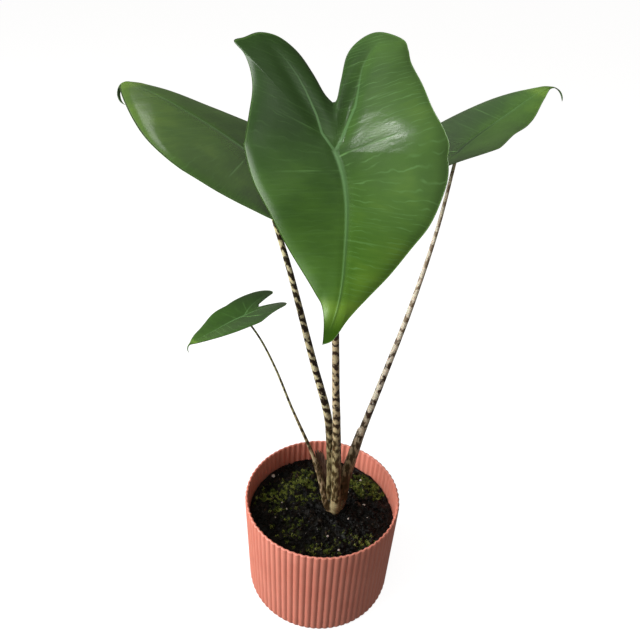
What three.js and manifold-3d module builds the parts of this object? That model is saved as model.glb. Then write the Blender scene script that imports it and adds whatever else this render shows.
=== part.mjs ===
// A young zebra-stemmed alocasia in a ribbed plastic pot.
// Millimetres, +Z up. The origin is the centre of the pot's underside, and the front is -Y.
import * as THREE from 'three';
import { mergeVertices } from 'three/addons/utils/BufferGeometryUtils.js';
import Module from 'manifold-3d';

const wasm = await Module();
wasm.setup();

// Driving dimensions of the pot
const POT_HEIGHT = 106.7;
const POT_RIM_RADIUS = 70;
const POT_BASE_RADIUS = 67;
const POT_WALL = 2.0;
const POT_FLOOR = 3.0;
const FOOT_ROUND = 6.0;
const RIB_COUNT = 75;
const RIB_DEPTH = 0.9;
const POINTS_PER_RIB = 3;
const RIB_TURN = THREE.MathUtils.degToRad(2.4);

// Driving dimensions of the soil and the stem base
const GAP = 0.3;
const SOIL_LEVEL = 84;
const SOIL_GAP = 0.4;
const CROWN = new THREE.Vector2(12.6, 0);
const CROWN_TOP = 98;
const ROOT_COUNT = 7;
const ROOT_LENGTH = 40;
const SEED = 41;

// Leaf blades
const BLADE_THICKNESS = 0.8;
const FOLD_ROUND = 6;
const RIB_TROUGH = 1.1;
const RIB_TROUGH_WIDTH = 4.5;

// Half outlines of a blade, from the tip to the sinus, as fractions of the length from the
// petiole joint to the tip: x across, y towards the tip. The petiole joint is at 0, 0.
const HALF_WIDE_RIGHT = [
  [0, 1], [0.034, 0.981], [0.049, 0.943], [0.072, 0.855], [0.143, 0.741], [0.241, 0.613],
  [0.338, 0.473], [0.416, 0.363], [0.477, 0.236], [0.547, 0.081], [0.578, -0.043], [0.551, -0.128],
  [0.485, -0.247], [0.428, -0.391], [0.366, -0.514], [0.347, -0.59], [0.316, -0.652],
  [0.195, -0.697], [0.103, -0.665], [0.028, -0.57], [0.003, -0.414], [-0.012, -0.299],
  [-0.033, -0.282],
];
const HALF_WIDE_LEFT = [
  [0, 1], [-0.025, 0.941], [-0.045, 0.888], [-0.066, 0.835], [-0.093, 0.784], [-0.134, 0.733],
  [-0.234, 0.597], [-0.321, 0.467], [-0.392, 0.348], [-0.466, 0.204], [-0.482, 0.087],
  [-0.465, -0.038], [-0.457, -0.184], [-0.453, -0.309], [-0.472, -0.411], [-0.514, -0.503],
  [-0.573, -0.569], [-0.521, -0.597], [-0.444, -0.636], [-0.341, -0.623], [-0.234, -0.547],
  [-0.146, -0.434], [-0.078, -0.328], [-0.033, -0.282],
];
const HALF_TAILED = [
  [0, 1], [0.008, 0.98], [0.012, 0.95], [0.014, 0.92], [0.022, 0.895], [0.05, 0.865], [0.1, 0.82],
  [0.19, 0.72], [0.3, 0.57], [0.41, 0.38], [0.48, 0.2], [0.51, 0.03], [0.505, -0.14], [0.49, -0.264],
  [0.475, -0.36], [0.46, -0.456], [0.42, -0.536], [0.34, -0.584], [0.24, -0.56], [0.16, -0.464],
  [0.09, -0.36], [0.04, -0.28], [0, -0.26],
];

// A half made wider or narrower, its belly moved towards the tip or back, its hind lobe longer
function shapedHalf(half, width, belly, lobe) {
  const hindStart = -0.2;
  return half.map(([x, y]) => {
    const along = y > 0 ? y + belly * y * (1 - y) : y;
    return [x * width, y < hindStart ? hindStart + (y - hindStart) * lobe : along];
  });
}

const mirrored = (half) => half.map(([x, y]) => [-x, y]);

// Each blade: its petiole joint, the compass azimuth and the elevation of its midrib there, its
// roll about the midrib, and its length from the joint to the tip. fold is the slope of the
// halves away from the midrib, arch the bend of the midrib in radians per mm, hook the bend
// added past hookStart, twist the turn about the midrib per mm, bow its sideways swing in mm, and
// droop the fall of the hind lobes.
const BLADES = {
  front: {
    joint: [-5.7, -30, 432.6], azimuth: -92, elevation: -52, roll: 0, length: 116,
    fold: 0.1, arch: 0.0022, hook: 0, hookStart: 1, twist: 0, bow: 9.9, droop: 0,
    recurve: 2.4, wave: 0.9, waves: 7, ribAngles: [167, -146],
    right: HALF_WIDE_RIGHT, left: HALF_WIDE_LEFT, spokes: 32,
    rings: [0.12, 0.26, 0.42, 0.58, 0.74, 0.88, 1],
  },
  left: {
    joint: [-61.8, 40, 403.4], azimuth: 147.8, elevation: 19.2, roll: 13.3, length: 154.7,
    fold: -0.053, arch: 0.0012, hook: 0.117, hookStart: 0.82, twist: -0.0012, bow: -3.2, droop: -0.15,
    recurve: 1.2, wave: 0.5, waves: 5, ribAngles: [155, -155],
    right: shapedHalf(HALF_TAILED, 0.98, -0.22, 0.86),
    left: mirrored(shapedHalf(HALF_TAILED, 1.02, -0.09, 0.8)),
    spokes: 24, rings: [0.15, 0.36, 0.56, 0.73, 0.84, 0.92, 1],
  },
  right: {
    joint: [82.3, 48, 410.9], azimuth: 30.3, elevation: 18.9, roll: -16.9, length: 110.6,
    fold: 0.147, arch: -0.0016, hook: 0.162, hookStart: 0.854, twist: 0.0024, bow: 10.9, droop: 0.14,
    recurve: 1.0, wave: 0.5, waves: 5, ribAngles: [155, -155],
    right: shapedHalf(HALF_TAILED, 1, 0.06, 1),
    left: mirrored(shapedHalf(HALF_TAILED, 0.88, -0.4, 0.99)),
    spokes: 24, rings: [0.15, 0.36, 0.56, 0.73, 0.84, 0.92, 1],
  },
  small: {
    joint: [-65, -15, 304], azimuth: 223.2, elevation: -17, roll: 15.2, length: 50.6,
    fold: 0.096, arch: -0.0057, hook: 0.243, hookStart: 0.867, twist: 0, bow: -5.3, droop: 0.61,
    recurve: 0.4, wave: 0.25, waves: 4, ribAngles: [155, -155],
    right: shapedHalf(HALF_TAILED, 0.96, -0.2, 0.85),
    left: mirrored(shapedHalf(HALF_TAILED, 1.02, -0.15, 1.23)),
    spokes: 22, rings: [0.2, 0.45, 0.66, 0.8, 0.9, 1],
  },
};

// Centre lines of the petioles from the crown up, each row x, y, z and radius there. The last
// point is added at the blade's underside.
const PETIOLES = {
  front: {
    rows: [[12.6, -5.2, 98.3, 4.6], [11.6, -5.2, 123, 4.2], [10.1, -6, 155.7, 3.9], [8.2, -8, 191.9, 3.4],
      [5.2, -12, 237.2, 3.0], [2.9, -16, 278.3, 2.75], [-0.6, -20, 330, 2.5], [-3.9, -24, 385, 2.3]],
    topRadius: 2.1, sides: 10, steps: 22,
  },
  left: {
    rows: [[8, 3.6, 98.3, 4.4], [6.4, 4.6, 135, 3.9], [3.6, 5.5, 169, 3.5], [0.3, 7, 194.6, 3.3],
      [-12.6, 13, 240.9, 2.9], [-24.8, 19.5, 285.5, 2.6], [-34.9, 26, 321, 2.3], [-45.9, 32, 355, 2.0]],
    topRadius: 1.7, sides: 10, steps: 22,
  },
  right: {
    rows: [[17.9, 3.3, 98.3, 4.7], [19.6, 3.4, 122.5, 4.5], [23.5, 4.4, 144, 4.1], [31.1, 7.5, 179.2, 3.1],
      [44.9, 14.5, 233, 2.6], [60.3, 25, 290.3, 2.1], [74.7, 38, 354.3, 1.5]],
    topRadius: 1.2, sides: 10, steps: 22,
  },
  small: {
    rows: [[3.4, -4.8, 98.3, 2.5], [-2.1, -4.6, 127.2, 2.0], [-8.6, -4.8, 153, 1.8], [-14.1, -5, 169.6, 1.5],
      [-29.5, -8, 213.9, 1.0], [-42, -11, 253.7, 0.85], [-53.1, -13.5, 282.3, 0.75]],
    topRadius: 0.7, sides: 8, steps: 18,
  },
};

// Dead cataphyll: a strip rolled round the left petiole's base
const SHEATH_BASE = new THREE.Vector3(8, 3.6, CROWN_TOP + GAP);
const SHEATH_TOP = new THREE.Vector3(-4, 4, 152);
const SHEATH_RADIUS = 5.6;
const SHEATH_FLARE = 1.2;
const SHEATH_ANGLES = [60, 160];
const SHEATH_THICKNESS = 0.8;

// Colours as seen, lit softly
const COLOURS = {
  pot: 0xe0917f, soil: 0x17140f, corm: 0x8f8a62, petiole: 0x9d9174, blade: 0x3f6b2c, sheath: 0x5b4636,
};

// Small repeatable random numbers, 0 to 1
function randomSource(seed) {
  let state = seed;
  return () => {
    state = (Math.imul(state, 1664525) + 1013904223) >>> 0;
    return state / 4294967296;
  };
}

// One welded closed geometry with no zero-width triangles
function welded(geometry) {
  const bare = geometry.clone();
  for (const name of Object.keys(bare.attributes)) {
    if (name !== 'position') bare.deleteAttribute(name);
  }
  const merged = mergeVertices(bare, 1e-4);
  const source = merged.index.array;
  const kept = [];
  for (let i = 0; i < source.length; i += 3) {
    const [a, b, c] = [source[i], source[i + 1], source[i + 2]];
    if (a !== b && b !== c && c !== a) kept.push(a, b, c);
  }
  merged.setIndex(kept);
  return merged;
}

function toSolid(geometry) {
  const mesh = welded(geometry);
  return new wasm.Manifold(new wasm.Mesh({
    numProp: 3,
    vertProperties: new Float32Array(mesh.attributes.position.array),
    triVerts: new Uint32Array(mesh.index.array),
  }));
}

function fromSolid(solid) {
  const mesh = solid.getMesh();
  const geometry = new THREE.BufferGeometry();
  geometry.setAttribute('position', new THREE.BufferAttribute(mesh.vertProperties, 3));
  geometry.setIndex(new THREE.BufferAttribute(mesh.triVerts, 1));
  return geometry;
}

function named(name, geometry, color, roughness) {
  const flat = geometry.clone();
  flat.computeVertexNormals();
  const mesh = new THREE.Mesh(flat, new THREE.MeshStandardMaterial({ color, roughness, metalness: 0 }));
  mesh.name = name;
  return mesh;
}

// A turned body from a profile of [radius, height], bottom centre to top centre, standing on Z
function turned(profile, segments) {
  const points = profile.map(([radius, height]) => new THREE.Vector2(radius, height));
  return new THREE.LatheGeometry(points, segments).rotateX(Math.PI / 2);
}

// Moves every vertex by change(point), in place
function reshaped(geometry, change) {
  const position = geometry.attributes.position;
  const point = new THREE.Vector3();
  for (let i = 0; i < position.count; i += 1) {
    point.fromBufferAttribute(position, i);
    change(point);
    position.setXYZ(i, point.x, point.y, point.z);
  }
  return geometry;
}

// Height of a rib over the mean wall, from -0.5 in a groove to 0.5 on a crest
function ribWave(angle) {
  return 0.5 * Math.cos(RIB_COUNT * (angle + Math.PI / 2 - RIB_TURN));
}

// Radius of the mean outer wall at a height
function wallRadius(height) {
  const share = (height - FOOT_ROUND) / (POT_HEIGHT - FOOT_ROUND);
  return POT_BASE_RADIUS + (POT_RIM_RADIUS - POT_BASE_RADIUS) * share - RIB_DEPTH / 2;
}

function pot() {
  const floorRadius = wallRadius(FOOT_ROUND) - POT_WALL;
  const foot = wallRadius(FOOT_ROUND) - FOOT_ROUND * 0.9;
  const rim = wallRadius(POT_HEIGHT);
  const profile = [
    [0, 0],
    [foot, 0],
    [foot + FOOT_ROUND * 0.6, FOOT_ROUND * 0.27],
    [wallRadius(FOOT_ROUND), FOOT_ROUND],
    [rim, POT_HEIGHT - 0.8],
    [rim - POT_WALL / 2, POT_HEIGHT],
    [rim - POT_WALL, POT_HEIGHT - 0.8],
    [floorRadius, FOOT_ROUND],
    [floorRadius - 2.5, POT_FLOOR],
    [0, POT_FLOOR],
  ];
  const ribbed = reshaped(turned(profile, RIB_COUNT * POINTS_PER_RIB), (point) => {
    const radius = Math.hypot(point.x, point.y);
    if (radius < foot + 0.1 || (point.z < FOOT_ROUND - 0.1 && radius < floorRadius - 1)) return;
    const fade = Math.min(1, point.z / FOOT_ROUND);
    const wider = 1 + (RIB_DEPTH * fade * ribWave(Math.atan2(point.y, point.x))) / radius;
    point.x *= wider;
    point.y *= wider;
  });
  return named('pot', ribbed, COLOURS.pot, 0.55);
}

// Crumbs and lumps of the mix, each a small rounded mound on the soil
const LUMPS = (() => {
  const random = randomSource(SEED);
  return Array.from({ length: 46 }, () => {
    const angle = random() * Math.PI * 2;
    const reach = Math.sqrt(random()) * 60;
    return {
      x: Math.cos(angle) * reach,
      y: Math.sin(angle) * reach,
      height: 1 + random() * 2.4,
      spread: 2.6 + random() * 2.8,
    };
  });
})();

// Top of the soil: a gentle slope up to the left and back, long swells, and the lumps
function soilTop(x, y) {
  const slope = -x * 0.035 + y * 0.02;
  const swell = 1.1 * Math.sin(x * 0.11 + 1.2) * Math.cos(y * 0.13) + 0.6 * Math.sin(x * 0.31 + y * 0.27);
  const mounds = LUMPS.reduce((sum, lump) => {
    const far = ((x - lump.x) ** 2 + (y - lump.y) ** 2) / lump.spread ** 2;
    return sum + lump.height * Math.exp(-far);
  }, 0);
  const nearCrown = Math.hypot(x - CROWN.x, y - CROWN.y);
  const calm = Math.min(1, nearCrown / 14);
  return SOIL_LEVEL - 1 + slope + calm * (swell + mounds * 0.7);
}

// Main roots: a ring of tapering, drooping cylinders sunk into the corm, all round thicker by grow
function root(index, grow) {
  const random = randomSource(SEED + index * 977);
  const angle = (index / ROOT_COUNT) * Math.PI * 2 + random() * 0.5;
  const length = ROOT_LENGTH * (0.75 + random() * 0.25);
  const drop = 16 + random() * 22;
  const out = new THREE.Vector3(Math.cos(angle), Math.sin(angle), 0);
  const start = new THREE.Vector3(CROWN.x, CROWN.y, 68 + random() * 4);
  const rows = [0, 0.35, 0.7, 1].map((share) => {
    const point = start.clone().addScaledVector(out, length * share);
    point.z -= drop * share * share;
    return [...point.toArray(), 2.2 - 1.4 * share + grow];
  });
  const tip = rows[rows.length - 1];
  tip[0] += out.x * grow;
  tip[1] += out.y * grow;
  tip[2] -= grow * (drop / length) * 2;
  return bentCylinder(rows, 5, 5, new THREE.Vector3(0, 0, 1));
}

// Corm: a swollen stem base with two rings of old leaf scars, narrow where it enters the soil
function cormBody(grow) {
  const profile = [
    [0, 54 - grow], [3.4, 55 - grow], [6.8, 60], [8.3, 66.5], [7.4, 73], [4.6, 80], [3.5, 84], [5.0, 87.5],
    [5.6, 89], [5.3, 89.6], [7.7, 92.6], [8.5, 94], [8.3, 94.6], [10.2, CROWN_TOP], [0, CROWN_TOP + grow],
  ];
  const grown = profile.map(([radius, height]) => [radius > 0 ? radius + grow : 0, height]);
  const stem = turned(grown, 20);
  stem.translate(CROWN.x, CROWN.y, 0);
  let body = toSolid(stem);
  for (let index = 0; index < ROOT_COUNT; index += 1) {
    body = body.add(toSolid(root(index, grow)));
  }
  return body;
}

function soil() {
  const wallGap = POT_WALL + RIB_DEPTH / 2 + SOIL_GAP;
  const bottom = POT_FLOOR + GAP;
  const lowRadius = wallRadius(FOOT_ROUND) - wallGap;
  const highRadius = wallRadius(SOIL_LEVEL) - wallGap;
  const rings = 12;
  const profile = [[0, bottom], [lowRadius - 3, bottom], [lowRadius, FOOT_ROUND + 1], [highRadius, SOIL_LEVEL]];
  for (let ring = rings - 1; ring >= 0; ring -= 1) {
    profile.push([(highRadius * ring) / rings, SOIL_LEVEL]);
  }
  const mound = reshaped(turned(profile, 60), (point) => {
    if (point.z > SOIL_LEVEL - 0.01) point.z = soilTop(point.x, point.y);
  });
  const filled = toSolid(mound).subtract(cormBody(SOIL_GAP));
  return named('soil', fromSolid(filled), COLOURS.soil, 0.95);
}

function corm() {
  return named('corm_and_roots', fromSolid(cormBody(0)), COLOURS.corm, 0.7);
}

// A closed cylinder bent along rows of [x, y, z, radius]. endPlane, if given, cuts its far end
// with the plane of that point and normal, by sliding the last ring along the path.
function bentCylinder(rows, sides, steps, reference, endPlane) {
  const curve = new THREE.CatmullRomCurve3(rows.map(([x, y, z]) => new THREE.Vector3(x, y, z)));
  const radiusAt = (share) => {
    const place = share * (rows.length - 1);
    const index = Math.min(rows.length - 2, Math.floor(place));
    return THREE.MathUtils.lerp(rows[index][3], rows[index + 1][3], place - index);
  };
  return reshaped(new THREE.CylinderGeometry(1, 1, 1, sides, steps), (point) => {
    const share = THREE.MathUtils.clamp(point.y + 0.5, 0, 1);
    const along = curve.getTangent(share);
    const across = reference.clone().addScaledVector(along, -reference.dot(along)).normalize();
    const beside = across.clone().cross(along);
    const radius = radiusAt(share);
    const { x, z } = point;
    point.copy(curve.getPoint(share)).addScaledVector(across, x * radius).addScaledVector(beside, z * radius);
    if (endPlane && share > 0.9999) {
      const miss = endPlane.point.clone().sub(point).dot(endPlane.normal);
      point.addScaledVector(along, miss / along.dot(endPlane.normal));
    }
  });
}

// Axes of a blade at its joint: along the midrib, across it, and up out of the upper face
function bladeAxes(blade) {
  const azimuth = THREE.MathUtils.degToRad(blade.azimuth);
  const elevation = THREE.MathUtils.degToRad(blade.elevation);
  const along = new THREE.Vector3(
    Math.cos(elevation) * Math.cos(azimuth),
    Math.cos(elevation) * Math.sin(azimuth),
    Math.sin(elevation),
  );
  const up = new THREE.Vector3(0, 0, 1).addScaledVector(along, -along.z).normalize();
  up.applyAxisAngle(along, THREE.MathUtils.degToRad(blade.roll));
  return { along, across: up.clone().cross(along), up };
}

// Midrib of a blade as [distance forward, distance up, bend angle] at a distance along it
function midribAt(blade, distance) {
  const bendAt = (place) => {
    const past = Math.max(0, place - blade.hookStart * blade.length);
    return blade.arch * place + blade.hook * past;
  };
  const steps = 60;
  const step = distance / steps;
  let forward = 0;
  let rise = 0;
  for (let i = 0; i < steps; i += 1) {
    const bend = bendAt((i + 0.5) * step);
    forward += Math.cos(bend) * step;
    rise -= Math.sin(bend) * step;
  }
  return [forward, rise, bendAt(distance)];
}

// Relief of the upper face over the folded blade, in mm, at x across and y along, where edge
// runs from 0 at the joint to 1 at the margin: troughs over the two hind ribs, a waved margin,
// and the margin rolled down. The drip tail is plain.
function bladeRelief(blade, x, y, edge) {
  const reach = Math.hypot(x, y);
  const angle = Math.atan2(x, y);
  const troughs = blade.ribAngles.reduce((sum, degrees) => {
    const rib = THREE.MathUtils.degToRad(degrees);
    if (Math.cos(angle - rib) < 0) return sum;
    const aside = reach * Math.sin(angle - rib);
    return sum - RIB_TROUGH * Math.exp(-((aside / RIB_TROUGH_WIDTH) ** 2));
  }, 0);
  const tail = THREE.MathUtils.smoothstep(y / blade.length, 0.8, 0.9);
  const settle = THREE.MathUtils.smoothstep(reach, 6, 22) * Math.min(1, blade.length / 100) * (1 - tail);
  const waves = blade.wave * Math.sin(angle * blade.waves + 0.6) * edge ** 4;
  return settle * (troughs * (1 - edge ** 3) + waves - blade.recurve * edge ** 8);
}

// Point of a blade's middle surface in the plant's frame
function bladePoint(blade, axes, x, y, edge) {
  const forward = y / blade.length;
  const bow = forward > 0 && forward < 1 ? blade.bow * (1 - Math.abs(2 * forward - 1) ** 3) : 0;
  const side = x + bow;
  const [ahead, rise, bend] = midribAt(blade, y);
  const turn = blade.twist * y;
  const hind = Math.max(0, -forward - 0.1);
  const fall = blade.droop * blade.length * hind * hind;
  const lift = blade.fold * (Math.hypot(x, FOLD_ROUND) - FOLD_ROUND) - fall + bladeRelief(blade, x, y, edge);
  const up = axes.up.clone().multiplyScalar(Math.cos(bend)).addScaledVector(axes.along, Math.sin(bend));
  const point = new THREE.Vector3(...blade.joint);
  point.addScaledVector(axes.along, ahead).addScaledVector(axes.up, rise);
  point.addScaledVector(axes.across, side * Math.cos(turn) - lift * Math.sin(turn));
  return point.addScaledVector(up, side * Math.sin(turn) + lift * Math.cos(turn));
}

// Closed outline of a blade in mm: right half from tip to sinus, left half back to the tip
function bladeOutline(blade) {
  const half = (points) => new THREE.SplineCurve(points.map(([x, y]) => new THREE.Vector2(x, y)));
  const right = half(blade.right).getPoints(blade.spokes);
  const left = half(blade.left).getPoints(blade.spokes).reverse();
  const loop = [...right.slice(0, -1), ...left.slice(0, -1)];
  return loop.map((point) => point.multiplyScalar(blade.length));
}

// A blade: rings of points from the joint out to the outline, the same on both faces, half a
// thickness up and down its normal, and closed round the margin.
function bladeGeometry(blade) {
  const axes = bladeAxes(blade);
  const outline = bladeOutline(blade);
  const count = outline.length;
  const pairs = [[0, 0, 0]];
  for (const ring of blade.rings) {
    for (const point of outline) pairs.push([point.x * ring, point.y * ring, ring]);
  }
  const small = 0.05;
  const upper = [];
  const lower = [];
  for (const [x, y, edge] of pairs) {
    const middle = bladePoint(blade, axes, x, y, edge);
    const ahead = bladePoint(blade, axes, x, y + small, edge).sub(bladePoint(blade, axes, x, y - small, edge));
    const aside = bladePoint(blade, axes, x + small, y, edge).sub(bladePoint(blade, axes, x - small, y, edge));
    const normal = ahead.cross(aside).normalize();
    upper.push(middle.clone().addScaledVector(normal, BLADE_THICKNESS / 2));
    lower.push(middle.clone().addScaledVector(normal, -BLADE_THICKNESS / 2));
  }
  const faces = [];
  const place = (ring, spoke) => (ring < 0 ? 0 : 1 + ring * count + (spoke % count));
  for (let ring = 0; ring < blade.rings.length; ring += 1) {
    for (let spoke = 0; spoke < count; spoke += 1) {
      const [a, b] = [place(ring, spoke), place(ring, spoke + 1)];
      const [c, d] = [place(ring - 1, spoke), place(ring - 1, spoke + 1)];
      faces.push([c, a, b]);
      if (ring > 0) faces.push([c, b, d]);
    }
  }
  const total = upper.length;
  const index = [];
  for (const [a, b, c] of faces) {
    index.push(a, b, c);
    index.push(a + total, c + total, b + total);
  }
  const last = blade.rings.length - 1;
  for (let spoke = 0; spoke < count; spoke += 1) {
    const [a, b] = [place(last, spoke), place(last, spoke + 1)];
    index.push(a, b + total, b);
    index.push(a, a + total, b + total);
  }
  const geometry = new THREE.BufferGeometry().setFromPoints([...upper, ...lower]);
  geometry.setIndex(index);
  return geometry;
}

function bladeMesh(which) {
  return named(`blade_${which}`, bladeGeometry(BLADES[which]), COLOURS.blade, 0.35);
}

// A petiole up to the underside of its blade, its end cut parallel to the blade
function petiole(which) {
  const blade = BLADES[which];
  const { rows, topRadius, sides, steps } = PETIOLES[which];
  const { up } = bladeAxes(blade);
  const end = new THREE.Vector3(...blade.joint).addScaledVector(up, -(BLADE_THICKNESS / 2 + GAP + 0.1));
  const path = [...rows, [...end.toArray(), topRadius]];
  const tube = bentCylinder(path, sides, steps, new THREE.Vector3(1, 0, 0), { point: end, normal: up });
  return named(`petiole_${which}`, tube, COLOURS.petiole, 0.5);
}

// The dead cataphyll: a grid rolled about a leaning axis, narrowing to a point at its top
function drySheath() {
  const columns = 8;
  const rows = 8;
  const middle = THREE.MathUtils.degToRad((SHEATH_ANGLES[0] + SHEATH_ANGLES[1]) / 2);
  const spread = THREE.MathUtils.degToRad((SHEATH_ANGLES[1] - SHEATH_ANGLES[0]) / 2);
  const strip = new THREE.BoxGeometry(2, SHEATH_THICKNESS, 1, columns, 1, rows);
  const rolled = reshaped(strip, (point) => {
    const up = point.z + 0.5;
    const axis = SHEATH_BASE.clone().lerp(SHEATH_TOP, up);
    const angle = middle - point.x * spread * (1 - 0.82 * up * up);
    const radius = SHEATH_RADIUS + SHEATH_FLARE * up + point.y;
    point.set(axis.x + radius * Math.cos(angle), axis.y + radius * Math.sin(angle), axis.z);
  });
  return named('dry_sheath', rolled, COLOURS.sheath, 0.8);
}

const plant = new THREE.Group();
plant.add(pot(), soil(), corm(), drySheath());
for (const which of Object.keys(BLADES)) plant.add(petiole(which), bladeMesh(which));

export default plant;
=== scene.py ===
# %% [markdown]
# # A young zebra-stemmed alocasia in a ribbed pot
#
# The plant is four arrow-shaped leaves on banded stalks that rise from one small corm. Its pot is
# a thin-walled plastic cylinder pressed into seventy-five upright ribs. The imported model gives
# the frame: it says where each leaf joint, stalk and rim is. Everything that a viewer sees is
# worked out below as a finer surface in the same place.

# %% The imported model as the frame
import itertools
import math

import bmesh
import bpy
import numpy as np
from mathutils import Matrix, Vector


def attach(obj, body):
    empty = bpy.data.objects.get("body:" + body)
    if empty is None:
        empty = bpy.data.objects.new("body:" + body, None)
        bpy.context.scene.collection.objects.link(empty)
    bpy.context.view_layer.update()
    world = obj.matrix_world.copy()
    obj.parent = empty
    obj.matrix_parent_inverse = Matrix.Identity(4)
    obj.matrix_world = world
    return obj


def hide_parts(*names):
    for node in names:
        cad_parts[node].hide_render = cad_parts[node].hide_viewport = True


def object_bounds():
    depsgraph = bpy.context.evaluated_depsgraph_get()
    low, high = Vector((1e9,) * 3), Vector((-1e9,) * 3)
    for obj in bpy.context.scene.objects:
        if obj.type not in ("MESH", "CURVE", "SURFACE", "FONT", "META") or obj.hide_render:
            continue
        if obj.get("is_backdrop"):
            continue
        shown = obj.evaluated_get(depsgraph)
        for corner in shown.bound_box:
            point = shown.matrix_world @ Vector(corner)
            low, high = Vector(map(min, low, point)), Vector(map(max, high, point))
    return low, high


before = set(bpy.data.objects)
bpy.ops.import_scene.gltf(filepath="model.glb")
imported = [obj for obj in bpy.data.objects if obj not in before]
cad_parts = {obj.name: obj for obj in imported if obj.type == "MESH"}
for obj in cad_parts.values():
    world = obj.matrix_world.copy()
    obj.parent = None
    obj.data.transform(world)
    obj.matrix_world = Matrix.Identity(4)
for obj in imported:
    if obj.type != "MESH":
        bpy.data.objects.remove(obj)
CAD_BOX = [list(corner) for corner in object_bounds()]
print("the packed model's box in metres:", np.round(CAD_BOX, 3).tolist())

# %% [markdown]
# ## Units, colours and nodes
#
# Shapes are worked out in millimetres, as a gardener would measure them, and turned to metres
# once, when a mesh is made. Colours are written as they look on a screen and turned to the
# linear values that light adds up in.

# %% Millimetres and linear colours
MM = 0.001


def linear(colour):
    """A screen colour such as "#dd8a78" as linear red, green, blue and alpha."""
    parts = np.array([int(colour[i:i + 2], 16) for i in (1, 3, 5)]) / 255
    mixed = np.where(parts <= 0.04045, parts / 12.92, ((parts + 0.055) / 1.055) ** 2.4)
    return (*mixed.tolist(), 1.0)


# %% One function for every shader node
def feed(node, key, value):
    """Sets a property or a socket of a node. If the value is a node, or a pair of a node and one
    of its outputs, the socket is fed by it."""
    source = value if isinstance(value, tuple) else (value, 0)
    if isinstance(source[0], bpy.types.Node):
        node.id_data.links.new(source[0].outputs[source[1]], node.inputs[key])
    elif isinstance(key, str) and hasattr(node, key):
        setattr(node, key, value)
    else:
        node.inputs[key].default_value = value


def add(tree, kind, settings=None):
    """Adds one node to a shader, with what its properties and sockets are set to or fed by."""
    node = tree.nodes.new(kind)
    for key, value in (settings or {}).items():
        feed(node, key, value)
    return node


def new_material(name, settings):
    """A named material with one Principled surface, its constant sockets set."""
    made = bpy.data.materials.new(name)
    made.use_nodes = True
    tree = made.node_tree
    tree.nodes.clear()
    surface = add(tree, "ShaderNodeBsdfPrincipled", settings)
    add(tree, "ShaderNodeOutputMaterial", {"Surface": surface})
    return made, tree, surface


# %% Short names for the nodes that every material uses
def position(tree):
    """The place of each point of the piece, in metres."""
    return add(tree, "ShaderNodeTexCoord"), "Object"


def carried(tree, name, output="Fac"):
    """A value that the piece carries on its points."""
    return add(tree, "ShaderNodeAttribute", {"attribute_name": name}), output


def maths(tree, operation, *values):
    """One sum on numbers or on what other nodes give."""
    return add(tree, "ShaderNodeMath", {"operation": operation, **dict(enumerate(values))})


def product(tree, first, *others):
    """Everything multiplied."""
    for other in others:
        first = maths(tree, "MULTIPLY", first, other)
    return first


def noise(tree, where, scale=1.0, detail=2.0, **settings):
    """Soft random clouds from 0 to 1, `scale` of them in each unit of the place."""
    return add(tree, "ShaderNodeTexNoise", {"Vector": where, "Scale": scale, "Detail": detail, **settings})


def stretched(tree, where, *scale, **settings):
    """A place with each axis multiplied, so that patterns laid on it get long or short."""
    return add(tree, "ShaderNodeMapping", {"Vector": where, "Scale": scale, **settings})


def ranged(tree, value, low, high, at_low=0.0, at_high=1.0):
    """at_low where the value is low, at_high where it is high, even between and level beyond."""
    return add(tree, "ShaderNodeMapRange", {
        "Value": value, "From Min": low, "From Max": high, "To Min": at_low, "To Max": at_high})


def tinted(tree, share, first, second):
    """Goes from the first colour to the second as share goes from 0 to 1. Each is a screen
    colour or what a node gives."""
    first, second = (linear(colour) if isinstance(colour, str) else colour for colour in (first, second))
    return add(tree, "ShaderNodeMix", {"data_type": "RGBA", 0: share, 6: first, 7: second}), 2


def between(tree, share, first, second):
    """Goes from the first number to the second as share goes from 0 to 1."""
    return add(tree, "ShaderNodeMix", {"data_type": "FLOAT", 0: share, 2: first, 3: second})


def ramp(tree, value, *stops):
    """A colour by value, from stops that are each a place from 0 to 1 and a screen colour."""
    node = add(tree, "ShaderNodeValToRGB", {"Fac": value})
    elements = node.color_ramp.elements
    for number, (place, colour) in enumerate(stops):
        stop = elements[number] if number < 2 else elements.new(place)
        stop.position = place
        stop.color = linear(colour)
    return node


def bump(tree, height, strength, distance):
    """Tilts the surface as if the height stood out by so many metres."""
    return add(tree, "ShaderNodeBump", {"Height": height, "Strength": strength, "Distance": distance})

# %% [markdown]
# ## Surfaces from numbers
#
# Each piece is a grid of points: rows along it, columns round or across it. The faces join
# neighbours in the grid, and a fan of triangles closes each end. Small irregularities come from
# lattice noise, which gives the same value at the same place on every run.

# %% Grids, fans and lattice noise
def grid_quads(rows, columns, closed=False, first=0):
    """Quads between the neighbours of a grid numbered row by row from first. closed also joins
    the last column to the first."""
    row = np.arange(rows - 1)[:, None]
    column = np.arange(columns if closed else columns - 1)[None, :]
    near = row * columns + column
    beside = row * columns + (column + 1) % columns
    quads = np.stack([near, beside, beside + columns, near + columns], axis=-1)
    return quads.reshape(-1, 4) + first


def fan(ring, centre):
    """Triangles from a closed ring of point numbers to one centre point."""
    return np.stack([ring, np.roll(ring, -1), np.full_like(ring, centre)], axis=-1)


def closed_rows(grid, first_middle, last_middle):
    """A surface of rings, each a row of the grid, closed by fans to two middle points."""
    rows, columns = grid.shape[:2]
    ring = np.arange(columns)
    points = np.concatenate([grid.reshape(-1, 3), [first_middle, last_middle]])
    blocks = [grid_quads(rows, columns, closed=True), fan(ring[::-1], len(points) - 2),
              fan(ring + (rows - 1) * columns, len(points) - 1)]
    return points, blocks


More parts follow.
